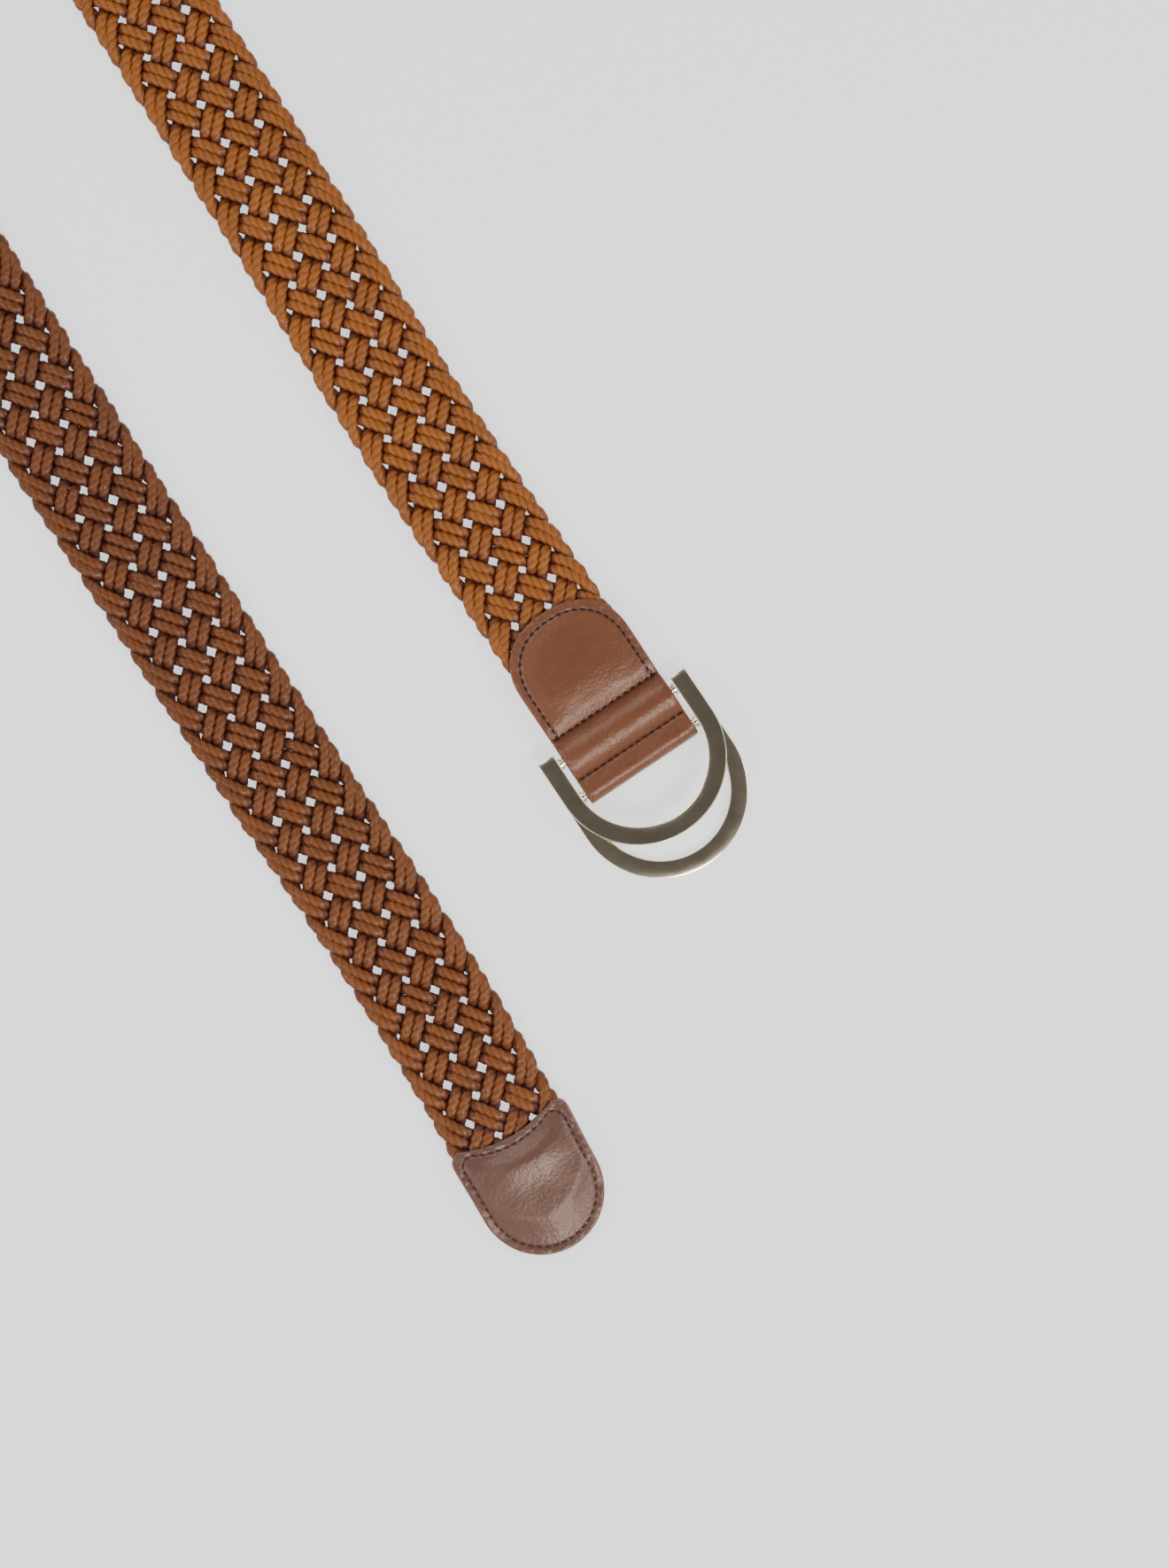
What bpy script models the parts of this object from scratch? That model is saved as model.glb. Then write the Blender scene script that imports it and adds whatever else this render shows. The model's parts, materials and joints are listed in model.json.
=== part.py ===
"""A braided cord belt with a leather chape, a double D-ring buckle and a leather tip.

The belt lies unbuckled in a long U. Both legs lie flat, face up, along Y. Past each leg the strap
turns onto its outer edge, and the two meet in a loop that stands on edge. Units are metres, +Z up.
"""

import math

import bmesh
import bpy
import numpy as np
from mathutils import Matrix, Vector

GAP = 0.0003  # clearance between pieces that touch

# Strap: a flat braid of cords. The route is its centreline seen from above, from bar to tip.
STRAP_WIDTH = 0.035
STRAP_THICK = 0.0047
ROUTE_MM = [
    (41.6, -181.9), (40.4, -126.5), (38.9, -72.2), (39.5, -26.6), (40.1, 64.7), (40.0, 160.0),
    (41.9, 210.0), (42.9, 240.0), (29.4, 272.5), (-3.0, 286.0), (-35.5, 272.5), (-49.0, 240.0),
    (-48.0, 210.0), (-47.0, 160.0), (-47.3, 80.0), (-47.5, -31.1), (-47.3, -77.0),
    (-46.7, -142.7), (-45.9, -183.5), (-47.0, -239.1), (-49.8, -288.3),
]
BUCKLE_HINGE_Y = 0.092  # the buckle leg lifts here, and the twist begins beyond it
TIP_HINGE_Y = 0.050
TWIST_END_Y = 0.238  # from here on the strap stands on its edge
LIFT_GAP = 0.0032  # room for a strap of this thickness to fold up through 60 degrees
LOOP_GAP = 0.0024  # room for the loop to open through 40 degrees

# Leather and thread
LEATHER = 0.0013
THREAD_R = 0.0002
BASE_LIFT = 0.0005  # the back leather clears the ground by its own thread
TONGUE_THICK = 0.0033  # the braid's end, pressed flat between the leathers
TONGUE_HALF = 0.0172
BINDING_LENGTH = 0.006
BINDING_WALL = 0.0005
BACK_Z = BASE_LIFT + LEATHER / 2
TONGUE_Z = BASE_LIFT + LEATHER + GAP + TONGUE_THICK / 2
FRONT_Z = TONGUE_Z + TONGUE_THICK / 2 + GAP + LEATHER / 2

# Chape: distances from the end bar, along the strap
CHAPE_HALF = 0.0184
CHANNEL_HALF = 0.0183
PATCH_END = 0.050
PATCH_ROUND = 0.017
PATCH_POWER = 2.3
BAR_SEAM = 0.0180
FOLD_SEAM = 0.0045
SEAM_FLAT = 0.0006  # half the level strip that a straight seam lies in
BAR_SEAM_Z = 0.0041  # the two leathers meet here, at this height
FLAT_START = BAR_SEAM + 0.0035  # the patch is level from here on
CHAPE_TONGUE_END = 0.0218
PATCH_SEAM_INSET = 0.0023
PATCH_SEAM_TOP = 0.0027
PATCH_SEAM_FOOT = BAR_SEAM + 3 * THREAD_R + GAP

# Rings: two equal flat bows, each with a turned bar across its legs
RING_INNER_R = 0.02005
RING_BAND = 0.0050
RING_THICK = 0.0020
RING_LEG = 0.0108  # bar to the centre of the half round
RING_HEEL = 0.0029  # leg left behind the bar
BAR_R = 0.0016
BAR_COLLAR_R = 0.00175
BAR_NECK_R = 0.00115
BAR_SPACING = 0.0113
CHANNEL_R = BAR_R + GAP + LEATHER / 2
BACK_BAR_Z = BASE_LIFT + LEATHER / 2 + CHANNEL_R
FRONT_BAR_Z = 0.0063
RING_FRONT_TILT = math.radians(8.5)
RING_BACK_TILT = math.radians(-4.2)

# Tip: distances from its round end
TIP_HALF = 0.0182
TIP_TOP_HALF = 0.01865
TIP_LENGTH = 0.0393
TIP_MOUTH_SAG = 0.0032
TIP_CORNER_R = 0.0035
TIP_SEAM_INSET = 0.0023
TIP_TONGUE_END = 0.0168


# ---------------------------------------------------------------- scene and materials


def clear_scene():
    for item in list(bpy.data.objects):
        bpy.data.objects.remove(item)


def material(name, colour, roughness, metallic=0.0):
    made = bpy.data.materials.new(name)
    made.use_nodes = True
    shader = made.node_tree.nodes["Principled BSDF"]
    shader.inputs["Base Color"].default_value = (*colour, 1.0)
    shader.inputs["Roughness"].default_value = roughness
    shader.inputs["Metallic"].default_value = metallic
    return made


def add_object(name, bm, finish, place=None):
    bmesh.ops.recalc_face_normals(bm, faces=bm.faces)
    mesh = bpy.data.meshes.new(name)
    bm.to_mesh(mesh)
    bm.free()
    mesh.shade_smooth()
    mesh.set_sharp_from_angle(angle=math.radians(35))
    mesh.materials.append(finish)
    made = bpy.data.objects.new(name, mesh)
    bpy.context.scene.collection.objects.link(made)
    if place is not None:
        made.matrix_world = place
    return made


# ---------------------------------------------------------------- the strap's route


def spline_slopes(knots, values):
    """Second derivatives of the natural cubic spline through values at knots."""
    count = len(knots)
    steps = np.diff(knots)
    system = np.eye(count)
    right = np.zeros(count)
    for i in range(1, count - 1):
        system[i, i - 1 : i + 2] = steps[i - 1], 2 * (steps[i - 1] + steps[i]), steps[i]
        rises = (values[i + 1] - values[i]) / steps[i] - (values[i] - values[i - 1]) / steps[i - 1]
        right[i] = 6 * rises
    return np.linalg.solve(system, right)


def spline_values(knots, values, at):
    second = spline_slopes(knots, values)
    i = np.clip(np.searchsorted(knots, at) - 1, 0, len(knots) - 2)
    step = knots[i + 1] - knots[i]
    a = (knots[i + 1] - at) / step
    b = 1 - a
    curve = ((a**3 - a) * second[i] + (b**3 - b) * second[i + 1]) * step**2 / 6
    return a * values[i] + b * values[i + 1] + curve


class Route:
    """The strap's centreline by arc length, with its roll from flat (0) to on edge (a right angle)."""

    def __init__(self, points_mm, samples=4000):
        points = np.array(points_mm) / 1000
        knots = np.concatenate([[0], np.cumsum(np.hypot(*np.diff(points, axis=0).T))])
        at = np.linspace(0, knots[-1], samples)
        self.x = spline_values(knots, points[:, 0], at)
        self.y = spline_values(knots, points[:, 1], at)
        self.s = np.concatenate([[0], np.cumsum(np.hypot(np.diff(self.x), np.diff(self.y)))])
        self.length = self.s[-1]
        self.apex = self.s[np.argmax(self.y)]
        self.twists = (
            (self.at_y(BUCKLE_HINGE_Y, 0), self.at_y(TWIST_END_Y, 0)),
            (self.at_y(TIP_HINGE_Y, 1), self.at_y(TWIST_END_Y, 1)),
        )

    def at_y(self, y, side):
        """Arc length where the route crosses y, on the buckle side (0) or the tip side (1)."""
        top = int(np.argmax(self.y))
        if side == 0:
            return float(np.interp(y, self.y[: top + 1], self.s[: top + 1]))
        return float(np.interp(-y, -self.y[top:], self.s[top:]))

    def roll(self, s):
        def eased(low, high):
            t = min(max((s - low) / (high - low), 0.0), 1.0)
            return t * t * (3 - 2 * t)

        (flat_a, edge_a), (flat_b, edge_b) = self.twists
        return math.pi / 2 * (eased(flat_a, edge_a) if s < self.apex else eased(flat_b, edge_b))

    def frame(self, s):
        """Centre height for a strap on the ground, with the right, forward and face directions."""
        step = 0.0005
        low, high = max(s - step, 0.0), min(s + step, self.length)
        ends = [Vector((np.interp(q, self.s, self.x), np.interp(q, self.s, self.y), 0)) for q in (low, high)]
        centre = Vector((np.interp(s, self.s, self.x), np.interp(s, self.s, self.y), 0))
        forward = (ends[1] - ends[0]).normalized()
        up = Vector((0, 0, 1))
        level = forward.cross(up)
        roll = self.roll(s)
        right = level * math.cos(roll) - up * math.sin(roll)
        face = level * math.sin(roll) + up * math.cos(roll)
        centre.z = STRAP_WIDTH / 2 * math.sin(roll) + STRAP_THICK / 2 * math.cos(roll)
        return centre, right, forward, face

    def ground(self, s):
        """A level frame on the ground: X to the strap's right, Y along it, Z up."""
        centre, right, forward, _ = self.frame(s)
        matrix = Matrix((right, forward, Vector((0, 0, 1)))).transposed().to_4x4()
        matrix.translation = (centre.x, centre.y, 0)
        return matrix


# ---------------------------------------------------------------- mesh builders


def loft(rings):
    """A closed body through rings of equal point counts, with flat ends."""
    bm = bmesh.new()
    rows = [[bm.verts.new(point) for point in ring] for ring in rings]
    count = len(rows[0])
    for low, high in zip(rows, rows[1:]):
        for i in range(count):
            j = (i + 1) % count
            bm.faces.new((low[i], low[j], high[j], high[i]))
    bm.faces.new(rows[0])
    bm.faces.new(rows[-1])
    return bm


def closed_loft(rings):
    """A ring-shaped body: the last ring joins the first."""
    bm = bmesh.new()
    rows = [[bm.verts.new(point) for point in ring] for ring in rings]
    count = len(rows[0])
    for k, low in enumerate(rows):
        high = rows[(k + 1) % len(rows)]
        for i in range(count):
            j = (i + 1) % count
            bm.faces.new((low[i], low[j], high[j], high[i]))
    return bm


def plate(outline, low, high):
    """A flat piece of this outline between two heights."""
    bm = bmesh.new()
    bottom = [bm.verts.new((x, y, low)) for x, y in outline]
    face = bm.faces.new(bottom)
    raised = bmesh.ops.extrude_face_region(bm, geom=[face])["geom"]
    bmesh.ops.translate(
        bm, verts=[v for v in raised if isinstance(v, bmesh.types.BMVert)], vec=(0, 0, high - low)
    )
    return bm


def turned(profile, sides=20):
    """A body turned about X from (x, radius) points."""
    rings = []
    for x, radius in profile:
        turns = [2 * math.pi * k / sides for k in range(sides)]
        rings.append([(x, radius * math.cos(t), radius * math.sin(t)) for t in turns])
    return loft(rings)


def tube(points, radius, sides=6):
    """A thread along a line of points, with its section square to the line."""
    points = [Vector(p) for p in points]
    rings = []
    for i, point in enumerate(points):
        ahead = points[min(i + 1, len(points) - 1)] - points[max(i - 1, 0)]
        across = ahead.cross(Vector((0, 0, 1))).normalized()
        lift = across.cross(ahead).normalized()
        turns = [2 * math.pi * k / sides for k in range(sides)]
        rings.append([point + radius * (across * math.cos(t) + lift * math.sin(t)) for t in turns])
    return loft(rings)


def section(half_width, half_thick, corner):
    """A rectangle with cut corners, as (right, face) offsets."""
    w, t, c = half_width, half_thick, corner
    return [(-w, -t + c), (-w + c, -t), (w - c, -t), (w, -t + c), (w, t - c), (w - c, t), (-w + c, t), (-w, t - c)]


def eased(value, low, high):
    t = min(max((value - low) / (high - low), 0.0), 1.0)
    return t * t * (3 - 2 * t)


# ---------------------------------------------------------------- strap


def strap_ring(route, s):
    """The strap's section at s. Near both ends the braid is pressed into a thinner tongue."""
    buckle_share = 1 - eased(s, PATCH_END + 0.0015, PATCH_END + 0.012)
    tip_start = route.length - TIP_LENGTH
    tip_share = eased(s, tip_start - 0.012, tip_start - 0.0015)
    share = max(buckle_share, tip_share)
    inside_binding = s < CHAPE_TONGUE_END + BINDING_LENGTH + 0.0001
    inside_binding = inside_binding or s > route.length - TIP_TONGUE_END - BINDING_LENGTH - 0.0001
    half_width = STRAP_WIDTH / 2 + (TONGUE_HALF - STRAP_WIDTH / 2) * share
    half_thick = (STRAP_THICK + (TONGUE_THICK - STRAP_THICK) * share) / 2
    if inside_binding:
        half_width -= BINDING_WALL + GAP
        half_thick -= BINDING_WALL + GAP
    centre, right, _, face = route.frame(s)
    centre = centre + Vector((0, 0, (TONGUE_Z - STRAP_THICK / 2) * share))
    corner = min(0.0012, half_thick * 0.6)
    return [centre + right * u + face * v for u, v in section(half_width, half_thick, corner)]


def strap_piece(route, name, start, end, pitch, finish, steps=()):
    """One stretch of the strap. Each of steps is where its section changes at once."""
    count = max(2, round((end - start) / pitch))
    stations = [start + (end - start) * k / count for k in range(count + 1)]
    for step in steps:
        stations = [s for s in stations if abs(s - step) > 0.0008] + [step, step + 0.0003]
    rings = [strap_ring(route, s) for s in sorted(stations)]
    return add_object(name, loft(rings), finish)


def build_strap(route, finish):
    lift_a, lift_b = route.at_y(BUCKLE_HINGE_Y, 0), route.at_y(TIP_HINGE_Y, 1)
    edge_a, edge_b = route.at_y(TWIST_END_Y, 0), route.at_y(TWIST_END_Y, 1)
    leg, fold, half = 0.008, LIFT_GAP / 2, LOOP_GAP / 2
    bound_a = CHAPE_TONGUE_END + BINDING_LENGTH
    bound_b = route.length - TIP_TONGUE_END - BINDING_LENGTH
    strap_piece(route, "strap_buckle_leg", CHAPE_TONGUE_END, lift_a - fold, leg, finish, [bound_a])
    strap_piece(route, "strap_buckle_twist", lift_a + fold, edge_a - GAP / 2, 0.006, finish)
    strap_piece(route, "strap_buckle_bend", edge_a + GAP / 2, route.apex - half, 0.005, finish)
    strap_piece(route, "strap_tip_bend", route.apex + half, edge_b - GAP / 2, 0.005, finish)
    strap_piece(route, "strap_tip_twist", edge_b + GAP / 2, lift_b - fold, 0.006, finish)
    tip_end = route.length - TIP_TONGUE_END
    strap_piece(route, "strap_tip_leg", lift_b + fold, tip_end, leg, finish, [bound_b - GAP])


def build_binding(name, place, finish):
    """Tape whipped round the braid's cut end, along local Y from 0."""
    outer = section(TONGUE_HALF, TONGUE_THICK / 2, 0.0006)
    inner = section(TONGUE_HALF - BINDING_WALL, TONGUE_THICK / 2 - BINDING_WALL, 0.0005)
    length = BINDING_LENGTH - GAP
    rings = [[(u, y, v) for u, v in loop] for loop, y in ((outer, 0), (outer, length), (inner, length), (inner, 0))]
    return add_object(name, closed_loft(rings), finish, place)


# ---------------------------------------------------------------- chape


def patch_half(distance):
    """Half the chape's width at a distance from the end bar: straight sides and a round end."""
    into = PATCH_END - distance
    if into >= PATCH_ROUND:
        share = eased(distance, BAR_SEAM, PATCH_END - PATCH_ROUND)
        return CHANNEL_HALF + (CHAPE_HALF - CHANNEL_HALF) * share
    rise = 1 - (1 - into / PATCH_ROUND) ** PATCH_POWER
    return CHAPE_HALF * max(rise, 0.0) ** (1 / PATCH_POWER)


def arc(centre, radius, start, end, count):
    turns = [math.radians(start + (end - start) * k / count) for k in range(count + 1)]
    return [(centre[0] + radius * math.cos(t), centre[1] + radius * math.sin(t)) for t in turns]


def chape_profile():
    """The folded strip's middle line as (distance, height), from front patch round both bars to back patch."""
    seam_mid = BACK_BAR_Z + (FRONT_BAR_Z - BACK_BAR_Z) * FOLD_SEAM / BAR_SPACING
    apart = LEATHER / 2 + GAP / 2
    ends = [PATCH_END - PATCH_ROUND * (1 - math.cos(math.pi / 2 * k / 9)) for k in range(1, 10)]
    front = [(d, FRONT_Z) for d in [PATCH_END - 0.00008, *ends, 0.028, FLAT_START]]
    front += [(BAR_SEAM + SEAM_FLAT, BAR_SEAM_Z + apart), (BAR_SEAM - SEAM_FLAT, BAR_SEAM_Z + apart)]
    front += arc((BAR_SPACING, FRONT_BAR_Z), CHANNEL_R, 62, 128, 6)
    front += [(FOLD_SEAM + SEAM_FLAT, seam_mid + apart), (FOLD_SEAM - SEAM_FLAT, seam_mid + apart)]
    front += arc((0, BACK_BAR_Z), CHANNEL_R, 72, 288, 14)
    back = [(FOLD_SEAM - SEAM_FLAT, seam_mid - apart), (FOLD_SEAM + SEAM_FLAT, seam_mid - apart)]
    back += arc((BAR_SPACING, FRONT_BAR_Z), CHANNEL_R, 250, 305, 4)
    back += [(BAR_SEAM - SEAM_FLAT, BAR_SEAM_Z - apart), (BAR_SEAM + SEAM_FLAT, BAR_SEAM_Z - apart)]
    back += [(d, BACK_Z) for d in [FLAT_START, 0.028, *reversed(ends), PATCH_END - 0.00008]]
    return front + back


def on_layer(profile, distance, front, offset):
    """A point this far outside the front or back layer, at a distance, as (distance, height)."""
    turn = min(range(len(profile)), key=lambda i: profile[i][0])
    ordered = sorted(profile[: turn + 1] if front else profile[turn:])
    step = 0.0002
    low, middle, high = (
        float(np.interp(distance + k * step, [p[0] for p in ordered], [p[1] for p in ordered])) for k in (-1, 0, 1)
    )
    out = Vector((low - high, 2 * step)).normalized() * (offset if front else -offset)
    return distance + out.x, middle + out.y


def build_chape(place, finish):
    profile = chape_profile()
    rings = []
    for i, (d, z) in enumerate(profile):
        before, after = profile[max(i - 1, 0)], profile[min(i + 1, len(profile) - 1)]
        along = Vector((after[0] - before[0], after[1] - before[1])).normalized()
        out = Vector((along.y, -along.x)) * (LEATHER / 2)
        half = max(patch_half(d), 0.0012)
        corner = min(0.00025, half / 4)
        low = [(-half + corner, -1), (half - corner, -1), (half, -0.55), (half, 0.55)]
        high = [(half - corner, 1), (-half + corner, 1), (-half, 0.55), (-half, -0.55)]
        rings.append([(x, d + out.x * k, z + out.y * k) for x, k in low + high])
    return add_object("chape_leather", loft(rings), finish, place)


def patch_seam_line():
    """The D-shaped seam inside the patch's edge, as (x, distance)."""
    top = PATCH_END - PATCH_SEAM_TOP
    half = CHAPE_HALF - PATCH_SEAM_INSET
    depth = PATCH_ROUND - 0.001
    points = []
    for k in range(33):
        t = math.pi * k / 32
        x = half * math.copysign(abs(math.cos(t)) ** (2 / PATCH_POWER), math.cos(t))
        points.append((x, top - depth + depth * math.sin(t) ** (2 / PATCH_POWER)))
    foot = [(half, d) for d in (PATCH_SEAM_FOOT, (PATCH_SEAM_FOOT + FLAT_START) / 2, FLAT_START, 0.024, 0.028)]
    return foot + points + [(-x, d) for x, d in reversed(foot)]


def build_chape_seams(place, finish):
    profile = chape_profile()
    raise_by = LEATHER / 2 + THREAD_R + 0.00005
    cross = CHANNEL_HALF - 0.0004
    level = [(-cross + 2 * cross * k / 8) for k in range(9)]
    lines = {
        "patch_seam": patch_seam_line(),
        "bar_seam": [(x, BAR_SEAM) for x in level],
        "fold_seam": [(x, FOLD_SEAM) for x in level],
    }
    for name, line in lines.items():
        for layer in ("front", "back"):
            points = [(x, *on_layer(profile, d, layer == "front", raise_by)) for x, d in line]
            add_object(f"{name}_{layer}", tube(points, THREAD_R), finish, place)


# ---------------------------------------------------------------- rings


def ring_line():
    """The bow's middle line in its own plane, bar at the origin: leg, half round, leg."""
    radius = RING_INNER_R + RING_BAND / 2
    line = [(radius, RING_HEEL), (radius, -RING_LEG / 2)]
    line += [
        (radius * math.cos(math.pi * k / 32), -RING_LEG - radius * math.sin(math.pi * k / 32)) for k in range(33)
    ]
    return line + [(-radius, -RING_LEG / 2), (-radius, RING_HEEL)]


def build_ring(name, place, bow_finish, bar_finish):
    line = [Vector((x, y, 0)) for x, y in ring_line()]
    rings = []
    for i, point in enumerate(line):
        ahead = (line[min(i + 1, len(line) - 1)] - line[max(i - 1, 0)]).normalized()
        across = ahead.cross(Vector((0, 0, 1)))
        shape = section(RING_BAND / 2, RING_THICK / 2, 0.00025)
        rings.append([point + across * u + Vector((0, 0, v)) for u, v in shape])
    add_object(f"{name}_bow", loft(rings), bow_finish, place)
    end = RING_INNER_R - GAP
    half_profile = [(end, BAR_COLLAR_R), (end - 0.0007, BAR_COLLAR_R), (end - 0.0008, BAR_NECK_R)]
    half_profile += [(end - 0.0012, BAR_NECK_R), (end - 0.0013, BAR_R)]
    profile = [(-x, r) for x, r in half_profile] + list(reversed(half_profile))
    add_object(f"{name}_bar", turned(profile), bar_finish, place)


# ---------------------------------------------------------------- tip


def tip_half(distance, inset=0.0):
    """Half the tip's width at a distance from its round end."""
    radius = TIP_HALF - inset
    into = distance - inset
    if into < radius:
        return math.sqrt(max(radius**2 - (radius - into) ** 2, 0.0))
    return radius + (TIP_TOP_HALF - TIP_HALF) * eased(distance, TIP_HALF, TIP_LENGTH)


def tip_outline(inset=0.0):
    """The tip seen from above, round end at the origin, mouth towards -Y, counted round once."""
    radius = TIP_HALF - inset
    side = []
    for k in range(1, 17):
        reach = radius * (1 - math.cos(math.pi / 2 * k / 16)) + inset
        side.append((tip_half(reach, inset), reach))
    top = TIP_LENGTH - inset
    corner = TIP_CORNER_R
    side.append((tip_half(top - corner, inset), (TIP_HALF + top - corner) / 2))
    half = tip_half(top, inset)
    for k in range(6):
        t = math.pi / 2 * k / 5
        side.append((half - corner * (1 - math.cos(t)), top - corner * (1 - math.sin(t))))
    reach = half - corner
    mouth = []
    for k in range(1, 12):
        x = reach * (1 - k / 6)
        mouth.append((x, top - TIP_MOUTH_SAG * (1 - (x / reach) ** 2)))
    left = [(-x, d) for x, d in reversed(side)]
    return [(x, -d) for x, d in [*side, *mouth, *left, (0.0, inset)]]


def build_tip(place, leather, filler, thread):
    for layer, middle in (("front", FRONT_Z), ("back", BACK_Z)):
        body = plate(tip_outline(), middle - LEATHER / 2, middle + LEATHER / 2)
        add_object(f"tip_leather_{layer}", body, leather, place)
        sign = 1 if layer == "front" else -1
        height = middle + sign * (LEATHER / 2 + THREAD_R + 0.00005)
        line = tip_outline(TIP_SEAM_INSET)
        line = [(x, y, height) for x, y in line]
        add_object(f"tip_seam_{layer}", tube_ring(line, THREAD_R), thread, place)
    radius = TIP_HALF - TIP_SEAM_INSET - 0.0015
    top = TIP_TONGUE_END - 2 * GAP
    start = TIP_SEAM_INSET + 0.0015
    edge = math.acos(1 - (top - start) / radius)
    turns = [edge * (k / 10 - 1) for k in range(21)]
    outline = [(radius * math.sin(t), -(start + radius * (1 - math.cos(t)))) for t in turns]
    body = plate(outline, TONGUE_Z - TONGUE_THICK / 2, TONGUE_Z + TONGUE_THICK / 2)
    add_object("tip_filler", body, filler, place)


def tube_ring(points, radius, sides=6):
    """A thread along a closed line at one height."""
    points = [Vector(p) for p in points]
    rings = []
    for i, point in enumerate(points):
        ahead = (points[(i + 1) % len(points)] - points[i - 1]).normalized()
        across = ahead.cross(Vector((0, 0, 1)))
        turns = [2 * math.pi * k / sides for k in range(sides)]
        rings.append([point + radius * (across * math.cos(t) + Vector((0, 0, math.sin(t)))) for t in turns])
    return closed_loft(rings)


# ---------------------------------------------------------------- the belt


def main():
    clear_scene()
    cord = material("braided_cord", (0.30, 0.11, 0.035), 0.55)
    leather = material("chape_leather", (0.24, 0.085, 0.045), 0.42)
    tip_skin = material("tip_leather", (0.22, 0.11, 0.085), 0.45)
    thread = material("sewing_thread", (0.05, 0.02, 0.02), 0.7)
    tape = material("binding_tape", (0.16, 0.07, 0.03), 0.8)
    board = material("filler_board", (0.35, 0.22, 0.14), 0.9)
    metal = material("ring_metal", (0.19, 0.16, 0.10), 0.25, 1.0)
    steel = material("bar_metal", (0.30, 0.26, 0.18), 0.3, 1.0)

    route = Route(ROUTE_MM)
    build_strap(route, cord)

    chape = route.ground(0.0)
    build_chape(chape, leather)
    build_chape_seams(chape, thread)
    bound = Matrix.Translation((0, CHAPE_TONGUE_END, TONGUE_Z))
    build_binding("binding_buckle_end", chape @ bound, tape)

    back = Matrix.Translation((0, 0, BACK_BAR_Z)) @ Matrix.Rotation(-RING_BACK_TILT, 4, "X")
    front = Matrix.Translation((0, BAR_SPACING, FRONT_BAR_Z)) @ Matrix.Rotation(-RING_FRONT_TILT, 4, "X")
    build_ring("ring_back", chape @ back, metal, steel)
    build_ring("ring_front", chape @ front, metal, steel)

    tip = route.ground(route.length)
    build_tip(tip, tip_skin, board, thread)
    bound = Matrix.Translation((0, -TIP_TONGUE_END - BINDING_LENGTH + GAP, TONGUE_Z))
    build_binding("binding_tip_end", tip @ bound, tape)


main()
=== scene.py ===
"""The looks of the braided belt: fourteen twisted cords, stitched leathers and two metal rings.

All lengths are metres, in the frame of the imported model. The belt's right, forward and face
directions follow the strap from the end bar, round the standing loop, to the tip.
"""

import json
import math

import bpy
import numpy as np
from mathutils import Matrix, Vector


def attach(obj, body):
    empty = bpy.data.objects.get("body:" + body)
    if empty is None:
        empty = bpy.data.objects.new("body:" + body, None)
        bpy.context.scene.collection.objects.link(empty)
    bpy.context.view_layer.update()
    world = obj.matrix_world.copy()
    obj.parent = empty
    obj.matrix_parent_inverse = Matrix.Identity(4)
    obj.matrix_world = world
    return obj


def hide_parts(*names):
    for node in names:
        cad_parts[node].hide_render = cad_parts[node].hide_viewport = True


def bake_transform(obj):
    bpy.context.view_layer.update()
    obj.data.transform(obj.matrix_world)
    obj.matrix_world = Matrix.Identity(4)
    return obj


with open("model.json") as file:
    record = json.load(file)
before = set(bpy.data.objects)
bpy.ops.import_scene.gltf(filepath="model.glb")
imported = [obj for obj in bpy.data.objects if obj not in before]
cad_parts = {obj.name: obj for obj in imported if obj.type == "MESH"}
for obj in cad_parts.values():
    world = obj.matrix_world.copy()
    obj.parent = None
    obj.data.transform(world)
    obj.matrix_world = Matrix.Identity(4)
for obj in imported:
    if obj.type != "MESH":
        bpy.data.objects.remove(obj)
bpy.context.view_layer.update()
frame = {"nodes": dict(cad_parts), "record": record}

MM = 0.001

# The strap, as the model has it
STRAP_WIDTH = 0.035
STRAP_THICK = 0.0047
ROUTE_MM = [
    (41.6, -181.9), (40.4, -126.5), (38.9, -72.2), (39.5, -26.6), (40.1, 64.7), (40.0, 160.0),
    (41.9, 210.0), (42.9, 240.0), (29.4, 272.5), (-3.0, 286.0), (-35.5, 272.5), (-49.0, 240.0),
    (-48.0, 210.0), (-47.0, 160.0), (-47.3, 80.0), (-47.5, -31.1), (-47.3, -77.0),
    (-46.7, -142.7), (-45.9, -183.5), (-47.0, -239.1), (-49.8, -288.3),
]
BUCKLE_HINGE_Y = 0.092
TIP_HINGE_Y = 0.050
TWIST_END_Y = 0.238
LEATHER = 0.0013
BASE_LIFT = 0.0005
GAP = 0.0003
TONGUE_THICK = 0.0033
BINDING_WALL = 0.0005
BINDING_LENGTH = 0.006
BACK_Z = BASE_LIFT + LEATHER / 2
TONGUE_Z = BASE_LIFT + LEATHER + GAP + TONGUE_THICK / 2
FRONT_Z = TONGUE_Z + TONGUE_THICK / 2 + GAP + LEATHER / 2
PATCH_END = 0.050
CHAPE_TONGUE_END = 0.0218
TIP_LENGTH = 0.0393
TIP_TONGUE_END = 0.0168

# Chape: distances from the end bar, along the strap
CHAPE_HALF = 0.0184
CHANNEL_HALF = 0.0183
PATCH_ROUND = 0.017
PATCH_POWER = 2.3
BAR_SEAM = 0.0180
FOLD_SEAM = 0.0045
SEAM_FLAT = 0.0006
BAR_SEAM_Z = 0.0041
FLAT_START = BAR_SEAM + 0.0035
PATCH_SEAM_INSET = 0.0023
PATCH_SEAM_TOP = 0.0027
PATCH_SEAM_FOOT = BAR_SEAM - 0.0008
BAR_R = 0.0016
BAR_SPACING = 0.0113
CHANNEL_R = BAR_R + GAP + LEATHER / 2
BACK_BAR_Z = 0.0037
FRONT_BAR_Z = 0.0063

# Tip: distances from its round end
TIP_HALF = 0.0182
TIP_TOP_HALF = 0.01865
TIP_MOUTH_SAG = 0.0032
TIP_CORNER_R = 0.0035
TIP_SEAM_INSET = 0.0023
TIP_MIDDLE_Z = TONGUE_Z

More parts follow.
